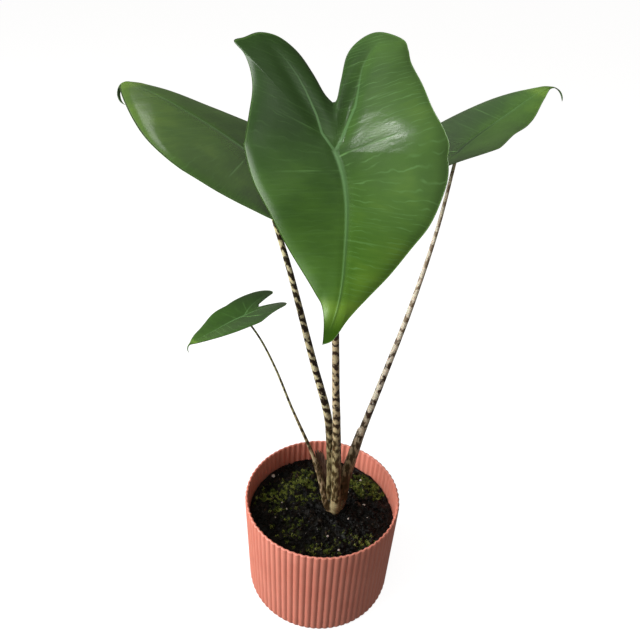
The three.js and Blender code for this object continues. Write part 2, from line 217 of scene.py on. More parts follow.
def lattice_noise(points, size, seed=0):
    """Random values on a lattice of cubes `size` mm wide, blended smoothly: -1 to 1."""
    place = np.atleast_2d(points) / size
    corner = np.floor(place).astype(np.int64)
    share = place - corner
    share = share * share * (3 - 2 * share)
    total = np.zeros(len(place))
    for offset in itertools.product((0, 1), repeat=3):
        key = (corner + np.array(offset)) @ np.array([73856093, 19349663, 83492791]) + seed * 7919
        key = (key ^ (key >> 13)) * 1274126177
        value = ((key ^ (key >> 16)) & 0xFFFF) / 32767.5 - 1
        total += value * np.prod(np.where(offset, share, 1 - share), axis=-1)
    return total


def around(angle, radius, height=0.0):
    """Places at an angle and a radius about the z axis, and at a height."""
    return np.stack(np.broadcast_arrays(radius * np.cos(angle), radius * np.sin(angle), height), axis=-1)


def smooth(value, low, high):
    """0 below low, 1 above high, and an even S-curve between."""
    share = np.clip((value - low) / (high - low), 0, 1)
    return share * share * (3 - 2 * share)


# %% From arrays to a piece that rides on the plant
def outward(points, blocks):
    """The faces of a closed surface, all turned round if they enclose a negative volume."""
    volume = 0.0
    for block in blocks:
        first = points[block[:, 0]]
        for corner in range(1, block.shape[1] - 1):
            square = np.cross(points[block[:, corner]], points[block[:, corner + 1]])
            volume += np.einsum("ij,ij->i", first, square).sum()
    return blocks if volume > 0 else [block[:, ::-1] for block in blocks]


def make_piece(name, points, blocks, surface, stands_for=(), attributes=None):
    """Makes a mesh piece from points in mm and blocks of faces, puts its named values on its
    points, and lets it ride on the plant."""
    faces = [row for block in outward(points, blocks) for row in block.tolist()]
    mesh = bpy.data.meshes.new(name)
    mesh.from_pydata((points * MM).tolist(), [], faces)
    mesh.shade_smooth()
    for key, values in (attributes or {}).items():
        vector = values.ndim == 2
        layer = mesh.attributes.new(key, "FLOAT_VECTOR" if vector else "FLOAT", "POINT")
        layer.data.foreach_set("vector" if vector else "value", values.astype(np.float32).ravel())
    mesh.materials.append(surface)
    piece = bpy.data.objects.new(name, mesh)
    bpy.context.scene.collection.objects.link(piece)
    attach(piece, "root")
    if stands_for:
        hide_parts(*stands_for)
    triangles = sum(len(block) * (block.shape[1] - 2) for block in blocks)
    print(f"{name}: {triangles} triangles")


# %% [markdown]
# ## Camera
#
# The photograph was taken by hand from a little above the leaves, looking down about 33 degrees,
# with the camera tipped slightly. The ellipse of the pot's rim and the taper of its wall give
# the distance and the field of view.

# %% The camera where the photograph was taken
CAMERA_PLACE = Vector((-9.9, -406.0, 552.9)) * MM
PITCH = math.radians(32.54)
ROLL = math.radians(2.76)

level_right = Vector((1, 0, 0))
ahead = Vector((0, math.cos(PITCH), -math.sin(PITCH)))
level_up = level_right.cross(ahead)
camera_right = level_right * math.cos(ROLL) + level_up * math.sin(ROLL)
camera_up = level_up * math.cos(ROLL) - level_right * math.sin(ROLL)

lens = bpy.data.cameras.new("camera")
lens.sensor_width = 36
lens.lens = 36
lens.clip_end = 200
camera = bpy.data.objects.new("camera", lens)
camera.matrix_world = Matrix.Translation(CAMERA_PLACE) @ Matrix(
    (camera_right, camera_up, -ahead)).transposed().to_4x4()
bpy.context.scene.collection.objects.link(camera)
bpy.context.scene.camera = camera
print("the camera is", round((CAMERA_PLACE - Vector((0, 0, 0.1))).length, 3), "m from the pot")

# %% [markdown]
# ## Floor and light
#
# The plant stands on a white floor that glows, like a photographer's light table, so it stays
# white right to the horizon. It sends no stray light up at the pot, which would flatten the ribs.
# The main lamp is a wide window on the left, low enough to graze the ribs. The ceiling above it
# lights the leaves that lie flat. Two lamps stand far off, above in front: a dim strip for the
# sheen on the right half of the front leaf, and a small one for the bright patch beside its
# midrib. From close by, they would shine in the left half too. A tiny lamp behind is mirrored
# near the tip of the left leaf. The surround is dim and slightly warm, as bounced light in a room
# is. Colours are shown plainly, without a film curve, so that white looks white.

# %% Floor, lamps and surround
bpy.context.scene.view_settings.view_transform = "Standard"

floor_paint, _, _ = new_material("matt_white_light_table", {
    "Base Color": linear("#8c8c8c"), "Roughness": 0.9, "Specular IOR Level": 0.1,
    "Emission Color": linear("#ffffff"), "Emission Strength": 0.92,
})
FLOOR_REACH = 30.0
FLOOR_DEPTH = 0.00005
floor_corners = [(x * FLOOR_REACH, y * FLOOR_REACH, -FLOOR_DEPTH)
                 for x, y in ((-1, -1), (1, -1), (1, 1), (-1, 1))]
floor_mesh = bpy.data.meshes.new("floor")
floor_mesh.from_pydata(floor_corners, [], [(0, 1, 2, 3)])
floor_mesh.materials.append(floor_paint)
floor = bpy.data.objects.new("floor", floor_mesh)
floor.visible_diffuse = False
floor.visible_glossy = False
bpy.context.scene.collection.objects.link(floor)
floor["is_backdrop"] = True

# name: place and aim in metres, width and height of the lamp in metres, watts, and whether
# smooth surfaces mirror it. A ceiling mirrored by the leaves would turn them grey. The camera
# sees none of the lamps.
LAMPS = {
    "tall_window_left": ((-1.38, -0.42, 0.74), (0, 0, 0.28), 1.5, 1.1, 40, True),
    "ceiling_left": ((-0.44, -0.16, 1.76), (0, 0, 0.33), 1.4, 1.4, 11.5, False),
    "sheen_strip_above": ((-0.75, -1.2, 3.05), (0.03, -0.03, 0.42), 0.7, 2.2, 1.5, True),
    "small_above_front": ((-0.4, -1.39, 3.1), (0.023, -0.024, 0.446), 0.12, 0.12, 3.9, True),
    "small_behind": ((-0.194, 0.33, 0.598), (-0.135, 0.038, 0.426), 0.05, 0.04, 0.01, True),
}
for lamp_name, (place, aim, width, height, watts, mirrored) in LAMPS.items():
    lamp = bpy.data.lights.new(lamp_name, "AREA")
    lamp.shape = "RECTANGLE"
    lamp.size = width
    lamp.size_y = height
    lamp.energy = watts
    holder = bpy.data.objects.new(lamp_name, lamp)
    holder.location = place
    holder.rotation_euler = (Vector(aim) - Vector(place)).to_track_quat("-Z", "Y").to_euler()
    holder.visible_glossy = mirrored
    holder.visible_camera = False
    bpy.context.scene.collection.objects.link(holder)

world = bpy.data.worlds.new("white_surround")
world.use_nodes = True
background = world.node_tree.nodes["Background"]
background.inputs["Color"].default_value = linear("#fdf5ec")
background.inputs["Strength"].default_value = 0.215
bpy.context.scene.world = world

# %% [markdown]
# ## Pot: injection-moulded polypropylene
#
# The pot is dyed right through and comes satin from a spark-eroded mould, so its skin is smooth
# with a very fine orange peel and its highlights are wide. Thin polypropylene lets a little
# light in, which softens the shade between the ribs.

# %% Pot plastic
pot_plastic, tree, surface = new_material("satin_salmon_polypropylene", {
    "Roughness": 0.52, "IOR": 1.49, "Specular IOR Level": 0.75, "Subsurface Weight": 0.06,
    "Subsurface Scale": 0.002, "Subsurface Radius": (1.0, 0.45, 0.3),
})
place = position(tree)
dust = noise(tree, place, 38.0, 3.0)
feed(surface, "Base Color", ramp(tree, dust, (0.35, "#d27d69"), (0.65, "#d88571")))
# The peel of the real mould is about 0.1 mm across and is drawn at 0.8 mm to show at all.
peel = noise(tree, place, 1250.0)
feed(surface, "Normal", bump(tree, peel, 0.12, 0.00006))

# %% [markdown]
# A revolved outline would be the quick way, but the ribs are the pot's whole character: they are
# half-round, with a narrow groove between, and they run over the rim and down the inside. So
# each row of the outline is a circle whose radius also rises and falls with the angle.

# %% The ribbed pot
POT_HEIGHT, RIM_RADIUS, BASE_RADIUS = 106.7, 70.0, 67.0
WALL, POT_FLOOR, FOOT = 2.0, 3.0, 6.0
RIBS, COLUMNS_PER_RIB = 75, 12
RIB_CREST, RIB_DEPTH = 0.45, 1.2
RIB_TURN = math.radians(2.4)


def wall_radius(height):
    """Mean outer radius: it widens evenly from the foot to the rim."""
    share = (height - FOOT) / (POT_HEIGHT - FOOT)
    return BASE_RADIUS + (RIM_RADIUS - BASE_RADIUS) * share - RIB_CREST


def rib_offset(angle):
    """Height of the ribbing at an angle: half-round crests with a sharp groove between."""
    turn = RIBS * (angle + math.pi / 2 - RIB_TURN) / 2
    return RIB_CREST - RIB_DEPTH * (1 - np.abs(np.cos(turn)) ** 0.75)


def inner_offset(angle):
    """The same ribs seen from inside the wall: shallower and rounder."""
    return 0.05 + 0.42 * np.cos(RIBS * (angle + math.pi / 2 - RIB_TURN))


def pot_outline():
    """Rows of radius, height, share of ribbing and share of the inner ribbing in it, from the
    underside's edge, up the outside, over the rounded rim, down the inside and in to the floor."""
    quarter = np.linspace(0, math.pi / 2, 9)
    foot_radius = wall_radius(FOOT) - 0.9 * FOOT
    foot = np.stack([foot_radius + 0.9 * FOOT * np.sin(quarter), FOOT * (1 - np.cos(quarter)),
                     np.sqrt(np.sin(quarter) * (1 - np.cos(quarter))), 0 * quarter], axis=1)
    up = np.linspace(FOOT, POT_HEIGHT - 1.0, 8)[1:]
    outside = np.stack([wall_radius(up), up, np.ones_like(up), 0 * up], axis=1)
    half = np.linspace(0, math.pi, 11)[1:-1]
    rim = np.stack([wall_radius(POT_HEIGHT) - 1 + np.cos(half), POT_HEIGHT - 1 + np.sin(half),
                    1 - 0.5 * np.sin(half), (1 - np.cos(half)) / 2], axis=1)
    down = up[::-1]
    inside = np.stack([wall_radius(down) - WALL, down, np.ones_like(down), np.ones_like(down)], axis=1)
    inner = wall_radius(FOOT) - WALL
    corner = np.stack([inner - 2.5 * (1 - np.cos(quarter)), FOOT - (FOOT - POT_FLOOR) * np.sin(quarter),
                       np.cos(quarter), np.ones_like(quarter)], axis=1)
    return np.concatenate([foot, outside, rim, inside, corner])


def pot_surface():
    """Each outline row swept round the axis, moved in and out by the ribbing."""
    outline = pot_outline()
    angle = np.linspace(0, 2 * math.pi, RIBS * COLUMNS_PER_RIB, endpoint=False)
    angle += -math.pi / 2 + RIB_TURN
    ribbing = rib_offset(angle) * (1 - outline[:, 3:]) + inner_offset(angle) * outline[:, 3:]
    radius = outline[:, :1] + outline[:, 2:3] * ribbing
    grid = around(angle, radius, outline[:, 1:2])
    return closed_rows(grid, [0, 0, 0], [0, 0, POT_FLOOR])


points, blocks = pot_surface()
make_piece("ribbed_pot", points, blocks, pot_plastic, ["pot"])
pot_width, _, pot_height = np.ptp(points, axis=0).round(1)
print("the pot is", pot_width, "mm across and", pot_height, "mm high")

# %% [markdown]
# ## Potting mix
#
# The mix is peat and composted bark, black when moist, with crumbs from a grain to a fingernail
# in size. A bumped plane looks like cloth from nearby, so the surface here is a fine grid with
# real lumps, and loose crumbs, bark chips, grains of perlite, roots and moss lie on it as small
# solid shapes.

# %% The soil's surface
SOIL_LEVEL = 84.0
SOIL_BOTTOM = 3.3
SOIL_GAP = 2.85
SOIL_RADIUS = wall_radius(SOIL_LEVEL) - SOIL_GAP
CROWN = np.array([12.6, 0.0])
SEED = 41
LUMPS = 46


def lump_list():
    """The lumps of the packed soil, from the same little random generator."""
    state, values = SEED, []
    for _ in range(LUMPS * 4):
        state = (state * 1664525 + 1013904223) % 2 ** 32
        values.append(state / 2 ** 32)
    angle, reach, height, spread = np.array(values).reshape(LUMPS, 4).T
    x, y, height = around(angle * 2 * math.pi, np.sqrt(reach) * 60, 1 + 2.4 * height).T
    return x, y, height, 2.6 + 2.8 * spread


LUMP_X, LUMP_Y, LUMP_HEIGHT, LUMP_SPREAD = lump_list()


def soil_top(x, y):
    """A gentle slope, long swells and the lumps, calm next to the stem, with grain on top."""
    x, y = np.asarray(x, float), np.asarray(y, float)
    swell = 1.1 * np.sin(0.11 * x + 1.2) * np.cos(0.13 * y) + 0.6 * np.sin(0.31 * x + 0.27 * y)
    far = ((x[..., None] - LUMP_X) ** 2 + (y[..., None] - LUMP_Y) ** 2) / LUMP_SPREAD ** 2
    mounds = (LUMP_HEIGHT * np.exp(-far)).sum(axis=-1)
    calm = np.minimum(1, np.hypot(x - CROWN[0], y - CROWN[1]) / 14)
    flat = np.stack([x.ravel(), y.ravel(), np.zeros(x.size)], axis=1)
    grain = 1.1 * lattice_noise(flat, 3.6, 5) + 0.6 * np.abs(lattice_noise(flat, 1.7, 6))
    return SOIL_LEVEL - 1 - 0.035 * x + 0.02 * y + calm * (swell + 0.7 * mounds) + grain.reshape(x.shape)


def soil_surface(rings=92, columns=340):
    """A round grid whose height is soil_top, with a straight side and a flat bottom."""
    angle = np.linspace(0, 2 * math.pi, columns, endpoint=False)
    radius = np.linspace(0.5, SOIL_RADIUS, rings)[:, None]
    x, y = radius * np.cos(angle), radius * np.sin(angle)
    z = soil_top(x, y)
    z = np.where(radius > SOIL_RADIUS - 1.2, np.minimum(z, SOIL_LEVEL + 1.5), z)
    low_radius = wall_radius(FOOT) - SOIL_GAP
    side = [(SOIL_RADIUS, 72.0), (SOIL_RADIUS * 0.5 + low_radius * 0.5, 40.0), (low_radius, 7.0),
            (low_radius - 3, SOIL_BOTTOM)]
    top = np.stack([x, y, z], axis=-1)
    skirt = [around(angle, side_radius, height)[None] for side_radius, height in side]
    return closed_rows(np.concatenate([top] + skirt), [0, 0, float(soil_top(0.0, 0.0))], [0, 0, SOIL_BOTTOM])


# %% [markdown]
# Moist peat is nearly black and drinks light, but wet facets of bark glint grey-blue. The
# material is therefore dark and rough with scattered smoother grains, and random patches are
# darkened as painted shade for the hollows between clumps. Each crumb carries one random tone,
# from black through dark brown to tan bark. Where moss covers the mix it is olive.

# %% Potting mix material
potting_mix, tree, surface = new_material("moist_peat_and_bark", {"IOR": 1.4, "Specular IOR Level": 0.3})
place = position(tree)
patch = noise(tree, place, 160.0, 5.0, Roughness=0.7)
shade = maths(tree, "MULTIPLY_ADD", patch, 0.45, carried(tree, "tone"))
# Painted shade: random patches of 6 to 10 mm are darkened to black, for the hollows between clumps.
painted_hollow_shade = ranged(tree, noise(tree, place, 110.0), 0.4, 0.6, 0.35, 1.1)
earth = ramp(tree, product(tree, shade, painted_hollow_shade), (0.12, "#050504"), (0.3, "#0c0b08"), (0.6, "#1e1912"),
             (0.85, "#423324"), (1.0, "#6e5945"))
feed(surface, "Base Color", tinted(tree, carried(tree, "mossy"), earth, "#37430f"))
feed(surface, "Roughness", ranged(tree, patch, 0.35, 0.65, 0.2, 0.85))
feed(surface, "Normal", bump(tree, noise(tree, place, 900.0, 4.0), 0.7, 0.0005))

# x, y, spread in mm and number of tufts of each patch of moss
MOSS_PATCHES = [
    (-54, 10, 4, 16), (-45, 16, 5, 34), (-36, 22, 5, 34), (-27, 30, 5, 30), (-18, 38, 5, 30),
    (-11, 30, 4, 22), (-14, 48, 4, 12), (-22, 14, 5, 22), (-6, 16, 4, 16), (31, 36, 5, 34),
    (41, 38, 5, 40), (51, 35, 4, 34), (59, 28, 3, 20), (37, 26, 4, 24), (48, 23, 4, 20),
    (39, 49, 4, 16), (34, -32, 4, 14), (43, -31, 4, 16), (10, -44, 6, 16), (-8, -38, 7, 14),
    (22, -26, 6, 10), (-34, -14, 7, 14), (-26, -28, 8, 14), (-40, 2, 5, 12), (-18, -14, 6, 8)]


def moss_cover(points):
    """How overgrown the soil is: a bell round each patch, broken up by noise of 3 mm."""
    cover = np.zeros(len(points))
    for x, y, spread, count in MOSS_PATCHES:
        far = ((points[:, 0] - x) ** 2 + (points[:, 1] - y) ** 2) / (1.3 * spread) ** 2
        cover = np.maximum(cover, min(1, count / 26) * np.exp(-far))
    return smooth(cover + 0.35 * lattice_noise(points, 3.0, 8), 0.35, 0.9)


points, blocks = soil_surface()
make_piece("soil_bed", points, blocks, potting_mix, ["soil"],
           {"tone": 0.1 + 0.1 * lattice_noise(points, 2.2, 9), "mossy": moss_cover(points)})

# %% [markdown]
# Over a thousand crumbs are one shape, a twenty-sided ball knocked out of round, copied with its
# own size, turn and tone. All copies are worked out at once as one array and fused in one mesh.

# %% Copies of one small shape
random = np.random.default_rng(SEED)


def ball(subdivisions):
    """The points and faces of a small ball of twenty or eighty triangles, radius 1."""
    made = bmesh.new()
    bmesh.ops.create_icosphere(made, subdivisions=subdivisions, radius=1)
    shape = np.array([vertex.co[:] for vertex in made.verts])
    faces = np.array([[vertex.index for vertex in face.verts] for face in made.faces])
    made.free()
    return shape, faces


def random_turns(count):
    """Rotation matrices from random unit quaternions."""
    w, x, y, z = random.normal(size=(4, count))
    length = np.sqrt(w * w + x * x + y * y + z * z)
    w, x, y, z = w / length, x / length, y / length, z / length
    return np.stack([
        np.stack([1 - 2 * (y * y + z * z), 2 * (x * y - w * z), 2 * (x * z + w * y)], axis=-1),
        np.stack([2 * (x * y + w * z), 1 - 2 * (x * x + z * z), 2 * (y * z - w * x)], axis=-1),
        np.stack([2 * (x * z - w * y), 2 * (y * z + w * x), 1 - 2 * (x * x + y * y)], axis=-1),
    ], axis=1)


def copies(shape, faces, places, sizes, ragged):
    """Each copy is the shape with every point pushed in or out by up to ragged, stretched by its
    three sizes, turned at random and set at its place."""
    count = len(places)
    bumpy = shape[None] * (1 + ragged * random.uniform(-1, 1, (count, len(shape), 1)))
    turned = np.einsum("nij,nkj->nki", random_turns(count), bumpy * sizes[:, None, :])
    numbers = faces[None] + (np.arange(count) * len(shape))[:, None, None]
    return (turned + places[:, None]).reshape(-1, 3), numbers.reshape(-1, faces.shape[1])


def on_soil(count, lift, reach=SOIL_RADIUS - 2.5):
    """Random places on the soil, evenly spread over its round face, lift mm above its surface."""
    angle = random.uniform(0, 2 * math.pi, count)
    radius = np.sqrt(random.uniform(0, 1, count)) * reach
    x, y = radius * np.cos(angle), radius * np.sin(angle)
    return np.stack([x, y, soil_top(x, y) + lift], axis=1)


# %% Crumbs and bark chips
grain_shape, grain_faces = ball(1)
FINE_CRUMBS, COARSE_CRUMBS, CHIPS = 1500, 230, 130


def scatter(name, places, sizes, ragged, draw_tones):
    """One piece made of many grains of potting mix, each with one tone."""
    points, faces = copies(grain_shape, grain_faces, places, sizes, ragged)
    tones = np.repeat(draw_tones(len(places)), len(grain_shape))
    make_piece(name, points, [faces], potting_mix, (), {"tone": tones})


crumb_radii = np.concatenate([np.exp(random.normal(0.0, 0.42, FINE_CRUMBS)),
                              random.uniform(1.6, 3.1, COARSE_CRUMBS)])[:, None]
crumb_sizes = crumb_radii * random.uniform(0.6, 1.15, (len(crumb_radii), 3))
scatter("soil_crumbs", on_soil(len(crumb_radii), 0.2), crumb_sizes, 0.25,
        lambda count: random.beta(1.2, 6.0, count) * 0.8)
chip_sizes = np.stack([random.uniform(1.8, 4.2, CHIPS), random.uniform(0.9, 1.8, CHIPS),
                       random.uniform(0.35, 0.7, CHIPS)], axis=1)
scatter("bark_chips", on_soil(CHIPS, 0.5), chip_sizes, 0.3, lambda count: random.uniform(0.05, 0.6, count))

# %% [markdown]
# Perlite is glass that was puffed up by heat: white, matt, full of pores. Eight pale grains are
# plain to see in the photograph and lie where it shows them, with crushed ones between.

# %% Perlite
perlite_white, tree, surface = new_material("expanded_perlite", {"Roughness": 0.95, "IOR": 1.5})
pores = noise(tree, position(tree), 700.0, 4.0)
feed(surface, "Base Color", ramp(tree, pores, (0.3, "#8f8478"), (0.6, "#d3c8bd")))
feed(surface, "Normal", bump(tree, pores, 0.8, 0.0004))

# x, y and radius in mm of the grains that show
PERLITE = np.array([(-47.9, 37.7, 2.0), (39.8, 9.6, 1.5), (6.2, -28.7, 1.2), (25.1, -6.6, 1.1),
                    (16.3, -41.4, 1.1), (37.9, 41.1, 1.3), (-32.4, 0.1, 1.0), (-37.1, 4.5, 0.9)])
CRUSHED_GRAINS = 34
crushed_places = on_soil(CRUSHED_GRAINS, 0.5)
whole_x, whole_y, whole_radii = PERLITE.T
whole_places = np.stack([whole_x, whole_y, soil_top(whole_x, whole_y) + 0.9], axis=1)
grain_places = np.concatenate([whole_places, crushed_places])
grain_radii = np.concatenate([whole_radii, random.uniform(0.25, 0.6, CRUSHED_GRAINS)])[:, None]
grain_sizes = grain_radii * random.uniform(0.75, 1.1, (len(grain_radii), 3))
perlite_points, perlite_faces = copies(*ball(2), grain_places, grain_sizes, 0.16)
make_piece("perlite", perlite_points, [perlite_faces], perlite_white)

# %% [markdown]
# Moss has settled on the damp mix, most of it behind and to the left of the stem. Seen from a
# step away it is a rough olive pile. Particle hair would be the usual tool, but a tuft of
# twenty-two thin three-sided spikes is as light, keeps its shape in any program, and needs no
# particles.

# %% Moss
moss_green, tree, surface = new_material("cushion_moss", {"Roughness": 0.75, "IOR": 1.4})
feed(surface, "Base Color", ramp(tree, carried(tree, "tip_tone"), (0.0, "#1c220b"), (0.35, "#4b5a1a"),
                                 (0.65, "#838a34"), (1.0, "#c6cb80")))

SPIKES_PER_TUFT = 22
TUFT_REACH = 1.9
SPIKE_FOOT = 0.36
THIRD_OF_TURN = 2.094


def moss_surface():
    """Spikes are closed three-sided pyramids: a base triangle on the soil and a point that leans
    out from the tuft's middle."""
    centres = np.concatenate([random.normal((x, y), spread, (count, 2))
                              for x, y, spread, count in MOSS_PATCHES])
    centres = centres[np.hypot(centres[:, 0], centres[:, 1]) < SOIL_RADIUS - 2.5]
    centres = np.repeat(centres, SPIKES_PER_TUFT, axis=0)
    count = len(centres)
    lean = random.uniform(0, 2 * math.pi, count)
    away = random.uniform(0, 1, count) * TUFT_REACH
    x, y = centres[:, 0] + away * np.cos(lean), centres[:, 1] + away * np.sin(lean)
    foot = np.stack([x, y, soil_top(x, y) - 0.2], axis=1)
    height = random.uniform(1.1, 2.7, count) * (1.25 - away / 2.4)
    point = foot + around(lean, height * random.uniform(0.0, 0.55, count), height)
    turn = random.uniform(0, 2 * math.pi, count)
    corners = [foot + around(turn + k * THIRD_OF_TURN, SPIKE_FOOT) for k in range(3)]
    points = np.stack(corners + [point], axis=1).reshape(-1, 3)
    pyramid = np.array([(0, 2, 1), (0, 1, 3), (1, 2, 3), (2, 0, 3)])
    faces = (pyramid[None] + (np.arange(count) * 4)[:, None, None]).reshape(-1, 3)
    tuft_tone = np.repeat(random.beta(2.2, 1.5, count // SPIKES_PER_TUFT), SPIKES_PER_TUFT)
    tones = np.stack([0.5 * tuft_tone] * 3 + [tuft_tone], axis=1).ravel()
    return points, [faces], {"tip_tone": tones}


points, blocks, attributes = moss_surface()
make_piece("moss_tufts", points, blocks, moss_green, (), attributes)

# %% [markdown]
# ## Profiles along a path
#
# A stalk, a root and a fibre are all the same thing: a round section carried along a curve
# through a few known points, with its radius changing on the way. The curve is a Catmull-Rom
# spline whose tangents allow for uneven spacing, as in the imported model, so the fine surface
# lies on the plain one.

# %% A curve through points and a tube along it
def curve_through(rows, count):
    """count places along a centripetal Catmull-Rom curve through the rows. All columns but the
    first three are blended in a straight line between rows."""
    rows = np.asarray(rows, float)
    knots = rows[:, :3]
    knots = np.concatenate([[2 * knots[0] - knots[1]], knots, [2 * knots[-1] - knots[-2]]])
    place = np.linspace(0, len(rows) - 1, count)
    index = np.minimum(place.astype(int), len(rows) - 2)
    t = (place - index)[:, None]
    before, start, end, after = (knots[index + k] for k in range(4))
    gap_in, gap, gap_out = (np.sqrt(np.linalg.norm(b - a, axis=1))[:, None]
                            for a, b in ((before, start), (start, end), (end, after)))
    step = (end - start) / gap
    first = ((start - before) / gap_in - (end - before) / (gap_in + gap) + step) * gap
    last = (step - (after - start) / (gap + gap_out) + (after - end) / gap_out) * gap
    curve = (start + first * t + (3 * (end - start) - 2 * first - last) * t ** 2
             + (2 * (start - end) + first + last) * t ** 3)
    others = rows[index, 3:] + (rows[index + 1, 3:] - rows[index, 3:]) * t
    return curve, others


def tube(path, radius, columns, reference=(1.0, 0.0, 0.0)):
    """Circles of the given radius square to the path, closed at both ends. radius may differ
    from column to column."""
    along = np.gradient(path, axis=0)
    along /= np.linalg.norm(along, axis=1)[:, None]
    across = np.asarray(reference) - along * (along @ np.asarray(reference))[:, None]
    across /= np.linalg.norm(across, axis=1)[:, None]
    beside = np.cross(across, along)
    angle = np.linspace(0, 2 * math.pi, columns, endpoint=False)
    radius = np.broadcast_to(radius, (len(path), columns))[..., None]
    spoke = across[:, None] * np.cos(angle)[:, None] + beside[:, None] * np.sin(angle)[:, None]
    return closed_rows(path[:, None] + radius * spoke, path[0], path[-1])


def joined(parts):
    """Several (points, faces) surfaces as one, the faces renumbered."""
    points = np.concatenate([part[0] for part in parts])
    starts = np.cumsum([0] + [len(part[0]) for part in parts[:-1]])
    blocks = [block + start for part, start in zip(parts, starts) for block in part[1]]
    return points, blocks


# %% Fine root fibres on the soil
FIBRES, FIBRE_STEPS = 46, 8


def fibre():
    """A thread 0.36 mm thick, half of that at its end, that wanders over the soil for 10 to 22 mm."""
    start = on_soil(1, 0)[0, :2]
    steps = np.arange(FIBRE_STEPS + 1)
    heading = random.uniform(0, 2 * math.pi) + np.cumsum(random.normal(0, 0.35, len(steps)))
    length = random.uniform(1.2, 2.8)
    x = start[0] + np.cumsum(np.cos(heading)) * length
    y = start[1] + np.cumsum(np.sin(heading)) * length
    near = np.minimum(1, (SOIL_RADIUS - 3) / np.maximum(np.hypot(x, y), 1))
    x, y = x * near, y * near
    lift = 1.1 + 0.9 * np.sin(steps / FIBRE_STEPS * math.pi)
    path = np.stack([x, y, soil_top(x, y) + lift], axis=1)
    taper = 0.18 * (1 - 0.5 * steps / FIBRE_STEPS)
    return tube(path, taper[:, None], 5, (0, 0, 1))


points, blocks = joined([fibre() for _ in range(FIBRES)])
make_piece("root_fibres", points, blocks, potting_mix, (), {"tone": np.full(len(points), 0.5)})

# %% [markdown]
# ## Corm
#
# The corm is the swollen foot of the stem. Old leaves leave rings on it, and it narrows at the
# soil's surface. The main roots begin further down. It is a turned shape with uneven bulges, in a
# living skin of mottled cream, olive and brown, darkened at the soil by painted shade and damp.

# %% Corm skin
corm_skin, tree, surface = new_material("living_corm_skin", {"Roughness": 0.55, "IOR": 1.42})
place = position(tree)
mottle = noise(tree, place, 420.0, 5.0, Roughness=0.65)
skin = ramp(tree, mottle, (0.32, "#3c3019"), (0.46, "#71623d"), (0.58, "#9a8c60"), (0.74, "#b9ad82"))
# Both flanks, away from the living middle, are painted dark brown: shreds of old sheaths, and painted shade
# at the sides.
axes = add(tree, "ShaderNodeSeparateXYZ", {"Vector": place})
flank = maths(tree, "ABSOLUTE", maths(tree, "SUBTRACT", (axes, "X"), CROWN[0] * MM))
corm_shreds_and_painted_shade = tinted(tree, ranged(tree, flank, 0.0035, 0.006, 0.0, 0.85), skin, "#35281a")
# Its foot is darkened towards the soil: painted shade where it sinks into the mix, and damp.
painted_shade_and_damp = ranged(tree, (axes, "Z"), 0.0915, 0.0865, 0.0, 0.85)
feed(surface, "Base Color", tinted(tree, painted_shade_and_damp, corm_shreds_and_painted_shade, "#241d10"))
feed(surface, "Normal", bump(tree, noise(tree, place, 900.0, 3.0), 0.5, 0.0004))

# %% The corm and its main roots
# radius and height in mm, from the buried point up over the two leaf scars to the crown
CORM_PROFILE = [
    (0.1, 54), (3.4, 55), (6.8, 60), (8.3, 66.5), (7.4, 73), (4.6, 80), (3.5, 84), (5.0, 87.5), (5.6, 89),
    (5.4, 89.6), (7.5, 92.6), (8.3, 94), (8.2, 94.6), (8.7, 96.4), (8.2, 99), (6.2, 101.4), (2.5, 103)]
MAIN_ROOTS = 7


def corm_surface(rows=90, columns=72):
    """The profile swept round the stem's axis, ringed every 2.6 mm by old leaf scars and pushed in
    and out by noise of 4 and 1.5 mm."""
    profile = np.array(CORM_PROFILE)
    span = np.concatenate([[0], np.cumsum(np.linalg.norm(np.diff(profile, axis=0), axis=1))])
    place = np.linspace(0, span[-1], rows)
    radius, height = (np.interp(place, span, profile[:, k]) for k in range(2))
    path = np.stack([np.full(rows, CROWN[0]), np.full(rows, CROWN[1]), height], axis=1)
    angle = np.linspace(0, 2 * math.pi, columns, endpoint=False)
    spots = around(angle, radius[:, None], height[:, None]).reshape(-1, 3)
    knobs = lattice_noise(spots, 4.0, 3) * 0.4 + lattice_noise(spots, 1.5, 4) * 0.15
    rings = 0.14 * np.cos(2 * math.pi * height / 2.6)[:, None]
    uneven = radius[:, None] + (knobs.reshape(rows, columns) + rings) * np.minimum(1, radius / 4)[:, None]
    return tube(path, uneven, columns)


def main_root(number):
    """A tapering root that leaves the corm and droops as the square of its length."""
    angle = number / MAIN_ROOTS * 2 * math.pi + random.uniform(0, 0.5)
    share = np.linspace(0, 1, 24)[:, None]
    out = np.array([math.cos(angle), math.sin(angle), 0])
    start = np.array([CROWN[0], CROWN[1], 69.5])
    path = start + out * share * random.uniform(30, 40)
    path = path - np.array([0, 0, random.uniform(16, 36)]) * share ** 2
    path += 0.5 * np.stack([lattice_noise(path, 6.0, k) for k in range(3)], axis=1) * share
    return tube(path, 2.2 - 1.4 * share, 12, (0, 0, 1))


points, blocks = joined([corm_surface()] + [main_root(number) for number in range(MAIN_ROOTS)])
make_piece("corm", points, blocks, corm_skin, ["corm_and_roots"])

# %% [markdown]
# ## Leaf stalks
#
# The stalks give the plant its name: fleshy, cream to pinkish, with irregular dark brown blotches
# that line up in bands about a centimetre apart. Stripes made by a wave texture alone look
# printed. Here each point of the stalk carries its own phase, which drifts with noise, and the
# shader adds the phase to a blotchy noise and paints dark what is above a threshold. Near the
# soil the bands give way to long camouflage patches. On the right stalk the blotches fade towards
# the leaf.

